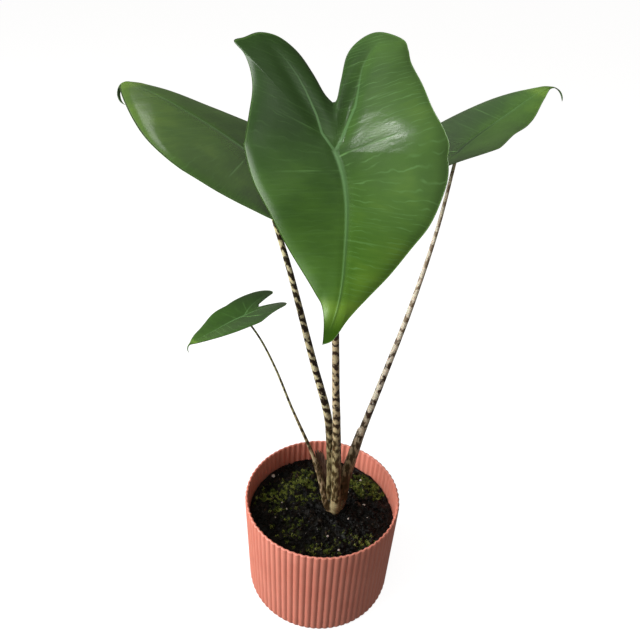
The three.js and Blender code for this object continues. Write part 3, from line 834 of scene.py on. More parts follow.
# %% Zebra skin
stalk_skin, tree, surface = new_material("banded_petiole_skin", {
    "Roughness": 0.42, "IOR": 1.42, "Subsurface Weight": 0.05, "Subsurface Scale": 0.002,
})
place = position(tree)
blotches = noise(tree, place, 250.0)
patches = noise(tree, stretched(tree, place, 430.0, 430.0, 130.0), 1.0, 3.0, Roughness=0.6)
blotchy = between(tree, carried(tree, "foot"), blotches, patches)
saw = maths(tree, "PINGPONG", carried(tree, "band_phase"), 0.5)
darkness = maths(tree, "MULTIPLY_ADD", saw, carried(tree, "band_weight"), blotchy)
over = maths(tree, "SUBTRACT", darkness, carried(tree, "threshold"))
band = ranged(tree, over, -0.075, 0.075)
specks = ranged(tree, noise(tree, place, 1300.0), 0.6, 0.68, 0.0, 0.6)
pale, deep = (carried(tree, name, "Vector") for name in ("pale", "deep"))
feed(surface, "Base Color", tinted(tree, maths(tree, "MAXIMUM", band, specks), pale, deep))
feed(surface, "Normal", bump(tree, blotches, 0.25, 0.0002))

# %% Leaf joints and the stalks' courses
# Each blade's joint with its stalk, the compass direction and rise of its midrib there, its
# roll about the midrib, and its length from the joint to the tip. The rest shapes the sheet:
# fold is the slope of the halves away from the midrib, arch the midrib's bend per mm, hook the
# bend added past hook_start, twist its turn per mm, bow its sideways swing, droop the fall of
# the hind lobes.
BLADES = {
    "front": dict(
        joint=(-5.7, -30, 432.6), azimuth=-92, elevation=-52, roll=0, length=116, fold=0.1, arch=0.0022,
        hook=0, hook_start=1, twist=0, bow=9.9, droop=0, recurve=2.4, wave=0.9, waves=7, ribs=(167, -146)),
    "left": dict(
        joint=(-61.8, 40, 403.4), azimuth=147.8, elevation=19.2, roll=13.3, length=154.7, fold=-0.053,
        arch=0.0012, hook=0.117, hook_start=0.82, twist=-0.0012, bow=-3.2, droop=-0.15, recurve=1.2,
        wave=0.5, waves=5, ribs=(155, -155)),
    "right": dict(
        joint=(82.3, 48, 410.9), azimuth=30.3, elevation=18.9, roll=-16.9, length=110.6, fold=0.147,
        arch=-0.0016, hook=0.162, hook_start=0.854, twist=0.0024, bow=10.9, droop=0.14, recurve=1.0,
        wave=0.5, waves=5, ribs=(155, -155)),
    "small": dict(
        joint=(-65, -15, 304), azimuth=223.2, elevation=-17, roll=15.2, length=50.6, fold=0.096,
        arch=-0.0057, hook=0.243, hook_start=0.867, twist=0, bow=-5.3, droop=0.61, recurve=0.4,
        wave=0.25, waves=4, ribs=(155, -155)),
}

# x, y, z and radius in mm, from inside the corm's top to just below the leaf
STALKS = {
    "front": [(12.6, -3.2, 91, 4.2), (12.6, -5.2, 98.3, 4.6), (11.6, -5.2, 123, 4.2), (10.1, -6, 155.7, 3.9),
              (8.2, -8, 191.9, 3.4), (5.2, -12, 237.2, 3.0), (2.9, -16, 278.3, 2.75), (-0.6, -20, 330, 2.5),
              (-3.9, -24, 385, 2.3)],
    "left": [(10, 2.4, 91, 4.0), (8, 3.6, 98.3, 4.4), (6.4, 4.6, 135, 3.9), (3.6, 5.5, 169, 3.5),
             (0.3, 7, 194.6, 3.3), (-12.6, 13, 240.9, 2.9), (-24.8, 19.5, 285.5, 2.6), (-34.9, 26, 321, 2.3),
             (-45.9, 32, 355, 2.0)],
    "right": [(15.4, 2.2, 91, 4.0), (17.9, 3.3, 98.3, 4.7), (19.6, 3.4, 122.5, 4.5), (23.5, 4.4, 144, 4.1),
              (31.1, 7.5, 179.2, 3.1), (44.9, 14.5, 233, 2.6), (60.3, 25, 290.3, 2.1),
              (74.7, 38, 354.3, 1.5)],
    "small": [(6.5, -3.2, 91, 2.6), (3.4, -4.8, 98.3, 2.5), (-2.1, -4.6, 127.2, 2.0), (-8.6, -4.8, 153, 1.8),
              (-14.1, -5, 169.6, 1.5), (-29.5, -8, 213.9, 1.0), (-42, -11, 253.7, 0.85),
              (-53.1, -13.5, 282.3, 0.75)],
}
STALK_TOPS = {"front": 2.1, "left": 1.7, "right": 1.2, "small": 0.7}
# mm from band to band, threshold above which it is dark, and the slant of the bands
STALK_BANDS = {"front": (9.5, 0.695, 0.05), "left": (9.6, 0.65, 0.2), "right": (11.5, 0.735, -0.1),
               "small": (7.5, 0.76, 0.0)}
# colours of the pale ground at mid-height, near the leaf and at the foot, then of the blotches
# low down and near the leaf
STALK_TONES = {"front": ("#c4b28c", "#bdb18a", "#b0a278", "#35220f", "#35220f"),
               "left": ("#cfc49c", "#b4b768", "#a89b70", "#221204", "#2b2008"),
               "right": ("#dcd1ba", "#d2caab", "#a18c6b", "#3a2517", "#8d7b61"),
               "small": ("#a8a273", "#8a9860", "#c0ab88", "#4a4426", "#4a4426")}
FOOT_DEEP, FOOT_BROWN = "#3d2f16", "#5f4329"
# height of the top of a stalk's sheath, its extra thickness in mm, and the side it stands out
# on in degrees, or None where it does so all round
SHEATHS = {"right": (180, 1.3, 170), "small": (154, 0.55, None), "left": (172, 0.5, 330),
           "front": (168, 0.5, 200)}


def blade_axes(blade):
    """Unit vectors along the midrib at the joint, across it, and up out of the upper face."""
    azimuth, elevation, roll = (math.radians(blade[key]) for key in ("azimuth", "elevation", "roll"))
    level = math.cos(elevation)
    along = np.array([level * math.cos(azimuth), level * math.sin(azimuth), math.sin(elevation)])
    up = np.array([0, 0, 1]) - along * along[2]
    up /= np.linalg.norm(up)
    up = up * math.cos(roll) + np.cross(along, up) * math.sin(roll)
    return along, np.cross(up, along), up


def stalk_course(which, count=300):
    """Places along the middle of a stalk, its radius there, and the leaf's upward direction."""
    _, _, up = blade_axes(BLADES[which])
    end = np.array(BLADES[which]["joint"]) - up * 0.9
    path, others = curve_through(STALKS[which] + [(*end, STALK_TOPS[which])], count)
    return path, others[:, 0], up


COURSES = {which: stalk_course(which) for which in STALKS}

# %% [markdown]
# Low down, the stalks are not four pipes side by side: each wraps the next with its sheath, and
# they grow into one foot. Joining solids would leave hard creases, so the skin of each stalk is
# moved out to a smooth union of all four, which fills the creases between them.


# %% How the stalks' feet grow together
def grown_together(points, own, top=165.0):
    """Moves points below top away from their own stalk until the smooth union of all stalks,
    minus k times the log of the summed exp(-distance / k), is zero. k shrinks with height."""
    low = np.flatnonzero(points[:, 2] < top)
    moved = points[low].copy()
    height = moved[:, 2]
    centres, radii = {}, {}
    for which, (path, radius, _) in COURSES.items():
        centres[which] = np.stack([np.interp(height, path[:, 2], path[:, k]) for k in range(2)], axis=1)
        radii[which] = np.interp(height, path[:, 2], radius)
    away = moved[:, :2] - centres[own]
    away /= np.linalg.norm(away, axis=1)[:, None]
    reach = 0.25 + 1.5 * (1 - smooth(height, 112, 165))
    travelled = np.zeros(len(low))
    for _ in range(10):
        place = moved[:, :2] + away * travelled[:, None]
        nearness = sum(np.exp(-(np.hypot(*(place - centres[which]).T) - radii[which]) / reach)
                       for which in COURSES)
        travelled = np.clip(travelled + 0.7 * reach * np.log(nearness), 0, 2.6)
    moved[:, :2] += away * travelled[:, None]
    points[low] = moved
    return points


def stalk_surface(which, columns=48):
    """A tube whose radius has three faint flutes and small knobs, and which is thicker where its
    sheath wraps it. Its last ring is cut parallel to the leaf."""
    path, radius, up = COURSES[which]
    count = len(path)
    height = np.concatenate([[0], np.cumsum(np.linalg.norm(np.diff(path, axis=0), axis=1))])
    angle = np.linspace(0, 2 * math.pi, columns, endpoint=False)
    spots = around(angle, 1.0, height[:, None]).reshape(-1, 3)
    flutes = 0.025 * np.cos(3 * angle[None] + 0.01 * height[:, None])
    knobs = 0.03 * lattice_noise(spots * [1.5, 1.5, 0.3], 1.0, 11).reshape(count, columns)
    sheath_top, extra, side = SHEATHS[which]
    facing = 1 if side is None else (0.5 + 0.5 * np.cos(angle - math.radians(side))) ** 1.5
    edge_height = sheath_top + 3 * lattice_noise(spots * [1, 1, 0], 0.8, 12).reshape(count, columns)
    wrapped = (1 - smooth(path[:, 2:] - edge_height, -2.5, 0.5)) * smooth(path[:, 2:], 100, 125)
    uneven = radius[:, None] * (1 + flutes + knobs) + extra * facing * wrapped
    points, blocks = tube(path, uneven, columns)
    top = np.arange((count - 1) * columns, count * columns)
    along = path[-1] - path[-2]
    along /= np.linalg.norm(along)
    miss = ((path[-1] - points[top]) @ up) / (along @ up)
    points[top] += miss[:, None] * along
    return grown_together(points, which), blocks, spots


def stalk_paint(which, points, spots):
    """The values that the zebra skin reads. The band phase is the height along the stalk over
    the band spacing, plus a slant and a drift of noise. The foot fades in from 190 mm down."""
    spots = np.concatenate([spots, spots[[0, -1]]])
    gap, threshold, slant = STALK_BANDS[which]
    drift = 0.35 * lattice_noise(spots * [0.8, 0.8, 1 / (1.1 * gap)], 1.0, 21)
    foot = 1 - smooth(points[:, 2] + 10 * lattice_noise(points, 12.0, 23), 155, 215)
    middle_pale, top_pale, foot_pale, dark, top_dark, foot_deep, brown = (
        np.array(linear(tone)[:3]) for tone in (*STALK_TONES[which], FOOT_DEEP, FOOT_BROWN))
    share = spots[:, 2:] / spots[:, 2].max()
    near_leaf = smooth(share, 0.75, 0.98)
    pale = middle_pale + (top_pale - middle_pale) * near_leaf
    pale = pale + (foot_pale - pale) * foot[:, None]
    # The foot on the right side is painted brown: a papery sheath there, and painted shade on that side.
    papery_sheath_and_painted_shade = smooth(points[:, 0], 13, 17) * (1 - smooth(points[:, 2], 124, 142))
    withered = 0.45 * foot * smooth(lattice_noise(points * [1, 1, 0.4], 3.5, 25), 0.0, 0.5)
    # Beside the corm the feet are painted brown: shreds of old sheaths, and painted shade at the flanks.
    foot_shreds_and_painted_shade = smooth(np.abs(points[:, 0] - CROWN[0]), 4.5, 6.5) * (1 - smooth(points[:, 2], 98, 106))
    pale = pale + (brown - pale) * np.maximum(np.maximum(0.85 * papery_sheath_and_painted_shade, withered), 0.85 * foot_shreds_and_painted_shade)[:, None]
    wavy = points[:, 2] + 0.5 * lattice_noise(points, 3.0, 27)
    rings = sum(np.exp(-((wavy - height) / 0.5) ** 2) for height in (105.0, 102.3, 99.5, 96.8))
    pale = pale * (1 - 0.45 * rings)[:, None]
    deep = dark + (top_dark - dark) * smooth(share, 0.4, 0.7)
    deep = deep + (foot_deep - deep) * foot[:, None]
    bare = (1 - smooth(points[:, 2], 103, 109)) * (1 - smooth(np.abs(points[:, 0] - CROWN[0]), 4, 7))
    scar = np.exp(-((points[:, 2] - 108.5) / 0.9) ** 2)
    # Painted shade: above the foot the threshold is lowered on each stalk's right side, so more of it is
    # dark.
    mixed = threshold - 0.05 * spots[:, 0] * (1 - foot)
    mixed = mixed + (0.5 - mixed) * foot + 0.2 * bare - 0.16 * scar * foot
    return {"band_phase": spots[:, 2] / gap + drift + slant * spots[:, 0], "threshold": mixed,
            "band_weight": 0.75 - 0.6 * foot, "foot": foot, "pale": pale, "deep": deep}


for which in STALKS:
    points, blocks, spots = stalk_surface(which)
    make_piece(f"stalk_{which}", points, blocks, stalk_skin, [f"petiole_{which}"],
               stalk_paint(which, points, spots))

# %% [markdown]
# ## Dry sheath
#
# The scale leaf that wrapped the youngest stalk has died back to a papery purple-brown strip.
# It is a rolled grid, narrowing to a point, crumpled along its length, with a thickness of its
# own so that light cannot leak through its edge.

# %% Papery cataphyll
dry_paper, tree, surface = new_material("dried_cataphyll", {"Roughness": 0.8, "IOR": 1.4})
veins = noise(tree, stretched(tree, position(tree), 900.0, 900.0, 110.0), 1.0, 4.0)
feed(surface, "Base Color", ramp(tree, veins, (0.3, "#38231f"), (0.55, "#6b5043"), (0.75, "#9a8168")))
feed(surface, "Normal", bump(tree, veins, 0.7, 0.0004))

SHEATH_BASE, SHEATH_TOP = np.array([8, 3.6, 98.3]), np.array([-4, 4, 152])
SHEATH_ANGLES = (60, 160)


def sheath_surface(rows=70, columns=40, thickness=0.35):
    """A strip rolled about a leaning axis at 5.6 mm from it, a little narrower at its ragged top,
    crumpled by noise that is long upwards and short across. Both faces are half a thickness off
    it."""
    up, across = np.meshgrid(np.linspace(0, 1, rows), np.linspace(-1, 1, columns), indexing="ij")
    middle = math.radians(sum(SHEATH_ANGLES) / 2)
    spread = math.radians((SHEATH_ANGLES[1] - SHEATH_ANGLES[0]) / 2)
    torn = 0.1 * np.abs(lattice_noise(across[0][:, None] * [4, 0, 0], 1.0, 33))
    up = up * (0.99 - torn[None, :] * up)
    angle = middle - across * spread * (1 - 0.4 * up ** 2)
    spots = np.stack([across * 6, up * 16, 0 * up], axis=-1).reshape(-1, 3)
    crumple = (0.45 * lattice_noise(spots, 2.5, 31) + 0.2 * lattice_noise(spots, 1.0, 32)).reshape(up.shape)
    axis = SHEATH_BASE + (SHEATH_TOP - SHEATH_BASE) * up[..., None]
    faces = []
    for side in (0.5, -0.5):
        radius = 5.6 + 1.2 * up + crumple * up + side * thickness
        faces.append(axis + around(angle, radius))
    points = np.concatenate([face.reshape(-1, 3) for face in faces])
    outer = grid_quads(rows, columns)
    numbers = np.arange(rows * columns).reshape(rows, columns)
    rim = np.concatenate([numbers[0], numbers[1:, -1], numbers[-1, -2::-1], numbers[-2:0:-1, 0]])
    back = rim + rows * columns
    wall = np.stack([rim, back, np.roll(back, -1), np.roll(rim, -1)], axis=-1)
    return points, [outer, outer[:, ::-1] + rows * columns, wall]


points, blocks = sheath_surface()
make_piece("dried_sheath", points, blocks, dry_paper, ["dry_sheath"])

# %% [markdown]
# ## Leaf blades
#
# Each blade is a thin leathery arrowhead. A flat outline with a leaf picture on it would look
# like card, so the sheet is modelled: its halves fold up from the midrib, the midrib arches and
# swings, the margin waves and rolls under, and the surface is quilted between the side veins.
# The points lie on rings, each a smaller copy of the outline round the joint with the stalk, so
# the main ribs, which all start there, run along the grid.

# %% Outlines of the two leaf shapes
# Half outlines from the tip to the notch, as shares of the length: across, towards the tip.
HALF_WIDE_RIGHT = [
    (0, 1), (0.034, 0.981), (0.049, 0.943), (0.072, 0.855), (0.143, 0.741), (0.241, 0.613), (0.338, 0.473),
    (0.416, 0.363), (0.477, 0.236), (0.547, 0.081), (0.578, -0.043), (0.551, -0.128), (0.485, -0.247),
    (0.428, -0.391), (0.366, -0.514), (0.347, -0.59), (0.316, -0.652), (0.195, -0.697), (0.103, -0.665),
    (0.028, -0.57), (0.003, -0.414), (-0.012, -0.299), (-0.033, -0.282)]
HALF_WIDE_LEFT = [
    (0, 1), (-0.025, 0.941), (-0.045, 0.888), (-0.066, 0.835), (-0.093, 0.784), (-0.134, 0.733),
    (-0.234, 0.597), (-0.321, 0.467), (-0.392, 0.348), (-0.466, 0.204), (-0.482, 0.087), (-0.465, -0.038),
    (-0.457, -0.184), (-0.453, -0.309), (-0.472, -0.411), (-0.514, -0.503), (-0.573, -0.569),
    (-0.521, -0.597), (-0.444, -0.636), (-0.341, -0.623), (-0.234, -0.547), (-0.146, -0.434),
    (-0.078, -0.328), (-0.033, -0.282)]
HALF_TAILED = [
    (0, 1), (0.008, 0.98), (0.012, 0.95), (0.014, 0.92), (0.022, 0.895), (0.05, 0.865), (0.1, 0.82),
    (0.19, 0.72), (0.3, 0.57), (0.41, 0.38), (0.48, 0.2), (0.51, 0.03), (0.505, -0.14), (0.49, -0.264),
    (0.475, -0.36), (0.46, -0.456), (0.42, -0.536), (0.34, -0.584), (0.24, -0.56), (0.16, -0.464),
    (0.09, -0.36), (0.04, -0.28), (0, -0.26)]


def shaped_half(half, width, belly, lobe, side=1):
    """A half outline made wider, its belly moved along, its hind lobe longer or shorter."""
    x, y = np.array(half).T
    y = np.where(y > 0, y + belly * y * (1 - y), y)
    y = np.where(y < -0.2, -0.2 + (y + 0.2) * lobe, y)
    return np.stack([x * width * side, y], axis=1)


OUTLINES = {
    "front": (np.array(HALF_WIDE_RIGHT), np.array(HALF_WIDE_LEFT)),
    "left": (shaped_half(HALF_TAILED, 0.98, -0.22, 0.86), shaped_half(HALF_TAILED, 1.02, -0.09, 0.8, -1)),
    "right": (shaped_half(HALF_TAILED, 1, 0.06, 1), shaped_half(HALF_TAILED, 0.88, -0.4, 0.99, -1)),
    "small": (shaped_half(HALF_TAILED, 0.96, -0.2, 0.85), shaped_half(HALF_TAILED, 1.02, -0.15, 1.23, -1)),
}


def spline(knots, count):
    """count + 1 places along an even Catmull-Rom curve through the knots, the ends doubled."""
    place = np.linspace(0, len(knots) - 1, count + 1)
    index = np.minimum(place.astype(int), len(knots) - 2)
    t = (place - index)[:, None]
    a, b, c, d = (knots[np.clip(index + k, 0, len(knots) - 1)] for k in (-1, 0, 1, 2))
    bend, turn = 2 * a - 5 * b + 4 * c - d, 3 * b - a - 3 * c + d
    return 0.5 * (2 * b + (c - a) * t + bend * t ** 2 + turn * t ** 3)


def leaf_outline(which, spokes):
    """The closed outline in mm: the right half from tip to notch, then the left half back."""
    right, left = OUTLINES[which]
    loop = np.concatenate([spline(right, spokes)[:-1], spline(left, spokes)[::-1][:-1]])
    return loop * BLADES[which]["length"]


# %% [markdown]
# ### The sheet in space
#
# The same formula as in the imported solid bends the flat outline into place: it adds up the
# midrib's direction step by step, swings it sideways, folds the halves and lifts the margin.

# %% The bent and folded sheet
def midrib_course(blade):
    """Distance ahead, rise and bend of the midrib at each 0.25 mm, added up from its direction."""
    at = np.arange(-1.0 * blade["length"], 1.1 * blade["length"], 0.25)
    past = np.maximum(0, at - blade["hook_start"] * blade["length"])
    bend = blade["arch"] * at + blade["hook"] * past
    ahead_sum = np.cumsum(np.cos(bend)) * 0.25
    rise_sum = -np.cumsum(np.sin(bend)) * 0.25
    zero = np.argmin(np.abs(at))
    return at, ahead_sum - ahead_sum[zero], rise_sum - rise_sum[zero], bend


def sheet_relief(blade, x, y, edge):
    """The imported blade's own relief: troughs over the hind ribs, a waved margin rolled down."""
    reach = np.hypot(x, y)
    angle = np.arctan2(x, y)
    troughs = np.zeros_like(x)
    for degrees in blade["ribs"]:
        rib = math.radians(degrees)
        aside = reach * np.sin(angle - rib)
        troughs -= np.where(np.cos(angle - rib) < 0, 0, 1.1 * np.exp(-(aside / 4.5) ** 2))
    near_tip = smooth(y / blade["length"], 0.8, 0.9)
    settle = smooth(reach, 6, 22) * min(1, blade["length"] / 100) * (1 - near_tip)
    waves = blade["wave"] * np.sin(angle * blade["waves"] + 0.6) * edge ** 4
    return settle * (troughs * (1 - edge ** 3) + waves - blade["recurve"] * edge ** 8)


def sheet_point(blade, x, y, edge):
    """Points of the sheet in the plant's frame, for places x across and y along the flat leaf."""
    along, across, up = blade_axes(blade)
    length = blade["length"]
    forward = y / length
    swing = blade["bow"] * (1 - np.abs(2 * forward - 1) ** 3) * ((forward > 0) & (forward < 1))
    course = midrib_course(blade)
    ahead_by, rise, bend = (np.interp(y, course[0], values) for values in course[1:])
    turn = blade["twist"] * y
    fall = blade["droop"] * length * np.maximum(0, -forward - 0.1) ** 2
    lift = blade["fold"] * (np.hypot(x, 6) - 6) - fall + sheet_relief(blade, x, y, edge)
    side = x + swing
    local_up = up * np.cos(bend)[:, None] + along * np.sin(bend)[:, None]
    level = side * np.cos(turn) - lift * np.sin(turn)
    raised = side * np.sin(turn) + lift * np.cos(turn)
    return (np.array(blade["joint"]) + along * ahead_by[:, None] + up * rise[:, None]
            + across * level[:, None] + local_up * raised[:, None])


# %% [markdown]
# ### Veins
#
# A pale midrib runs to the tip, and two hind ribs run from the stalk's joint into the lobes.
# Side veins leave them almost square and swing a little towards the margin. They matter twice:
# as thin pale lines, and because the sheet is pillowed between them and shines in short streaks
# across. So every point is given its signed distance from the nearest rib in half-widths, and a
# count along the ribs in which each whole number is a side vein. Both change smoothly, so a thin
# line drawn from them stays sharp on a coarse grid.

# %% Ribs and side veins on the flat leaf
# Courses of the front leaf's hind ribs in mm, right and left, as the photograph shows them. Those
# of the other leaves are slight bows.
FRONT_HIND_RIBS = {
    1: [(0, 0), (3.3, -7.3), (6.3, -17.8), (10.2, -29.1), (11.2, -38.6), (11.9, -46.7), (12.8, -54.5),
        (17.2, -66.1), (21.6, -72)],
    -1: [(0, 0), (-8.7, -10.8), (-12.6, -21.9), (-20.3, -36.8), (-25.8, -45.6), (-29.0, -49.8),
         (-36.1, -58.3), (-44.1, -64)],
}
# Where side veins leave the midrib or a hind rib, in mm along the front leaf, right and left, and
# how plainly each shows.
SIDE_VEINS = {
    1: [-86, -72, -58, -44, -29.6, -14, 3.4, 18, 32.2, 42, 52.5, 62, 73.3, 84, 95, 106, 117],
    -1: [-86, -72, -58, -46, -33, -21, -10.3, 0, 11.3, 24, 36, 48, 60, 72, 84, 95, 106, 117],
}
VEIN_SHOWS = {
    1: [0.1, 0.1, 0.15, 0.1, 0.3, 0.1, 0.9, 0.12, 0.25, 0.12, 0.5, 0.1, 0.25, 0.1, 0.1, 0.05, 0],
    -1: [0.05, 0.05, 0.05, 0.05, 0.1, 0.1, 0.3, 0.08, 0.4, 0.08, 0.1, 0.1, 0.1, 0.08, 0.08, 0.05, 0.05, 0],
}
FRONT_LENGTH = 116.0


def hind_rib_course(which, side):
    """Points of a hind rib from the joint into the lobe, in mm on the flat leaf."""
    if which == "front":
        return np.array(FRONT_HIND_RIBS[side])
    angle = math.radians(BLADES[which]["ribs"][0 if side > 0 else 1])
    reach = np.linspace(0, 0.56, 8)[:, None] * BLADES[which]["length"]
    bend = np.sin(reach / reach[-1] * math.pi) * 0.015 * BLADES[which]["length"] * side
    return reach * np.array([math.sin(angle), math.cos(angle)]) + bend * np.array([1, 0])


def vein_slope(place, side, scale):
    """How a side vein that leaves at `place` slants: back towards the lobes near the joint, and
    slightly towards the tip further out."""
    start = place / scale
    forward = smooth(start, 2, 30) if side > 0 else smooth(start, -12, 12)
    return -0.42 + (0.54 if side > 0 else 0.52) * forward + 0.2 * smooth(-start, 35, 70)


def vein_place(which, x, y):
    """Where the side vein through each point leaves its rib. The vein is a straight slant from
    the rib, y = place + slope * distance, so the place is found by halving an interval."""
    scale = BLADES[which]["length"] / FRONT_LENGTH
    found = np.zeros_like(x)
    for side in (1, -1):
        mine = (x >= 0) if side > 0 else (x < 0)
        course = hind_rib_course(which, side)
        aside = np.abs(x[mine])
        low, high = np.full(aside.shape, -200.0), np.full(aside.shape, 300.0)
        for _ in range(26):
            middle = (low + high) / 2
            rib = np.interp(-middle, -course[:, 1], np.abs(course[:, 0])) * (middle < 0)
            slant = vein_slope(middle, side, scale)
            reached = middle + np.where(aside > rib, slant, 0.35) * np.abs(aside - rib)
            too_far = reached > y[mine]
            high = np.where(too_far, middle, high)
            low = np.where(too_far, low, middle)
        found[mine] = (low + high) / 2
    return found


def rib_distance(course, x, y):
    """Signed distance in mm from a course of points, by the nearest of its straight pieces, and
    how far along the course that is."""
    best = np.full(x.shape, 1e9)
    signed, along = np.zeros_like(x), np.zeros_like(x)
    travelled = 0.0
    for start, end in zip(course[:-1], course[1:]):
        piece = end - start
        length = np.linalg.norm(piece)
        share = np.clip(((x - start[0]) * piece[0] + (y - start[1]) * piece[1]) / length ** 2, 0, 1)
        dx, dy = x - start[0] - share * piece[0], y - start[1] - share * piece[1]
        distance = np.hypot(dx, dy)
        nearer = distance < best
        side = np.sign(piece[0] * dy - piece[1] * dx)
        best = np.where(nearer, distance, best)
        signed = np.where(nearer, distance * side, signed)
        along = np.where(nearer, travelled + share * length, along)
        travelled += length
    return signed, along


# %% [markdown]
# ### Fine relief and the two faces
#
# The upper face dips beside each rib, with the rib a low cord in the dip. Below, the ribs stand
# proud, as they do on every arum leaf. The faces meet in a rounded margin.

# %% The quilted, ribbed blade
RINGS = {"front": 88, "left": 70, "right": 70, "small": 44}
SPOKES = {"front": 176, "left": 138, "right": 138, "small": 100}
# half-width of the midrib at the joint and at the tip, in mm
MIDRIB = {"front": (1.5, 0.5), "left": (1.4, 0.4), "right": (1.3, 0.35), "small": (0.7, 0.25)}
THICKNESS = 0.5
# three pairs, each of the left and the right half: how much painted light lightens the green
# behind the joint (painted shade where negative), the same ahead of it, and how much grey-green
# sheen is painted on
HALVES = {"front": ((-0.21, 0.2), (-0.03, 0.11), (0.0, 0.06)),
          "left": ((-0.1, 0.14), (-0.05, 0.16), (0.0, 0.03)),
          "right": ((0.05, -0.21), (0.05, -0.24), (0.03, 0.07)),
          "small": ((-0.12, -0.12), (-0.12, -0.12), (0.0, 0.03))}
# how plainly the fine veins show on the polished half, drawn plainer there as painted highlight
FINE_VEINS = {"front": 1.0, "left": 0.3, "right": 0.35, "small": 0.3}

# the swelling of the front leaf's right lobe that catches the light: place, height, width in mm
DOME_PLACE, DOME_HEIGHT, DOME_WIDTH = (33.6, -21.0), 0.3, 14.0


def bell(distance):
    """1 at no distance, falling off smoothly within about two."""
    return np.exp(-distance ** 2)


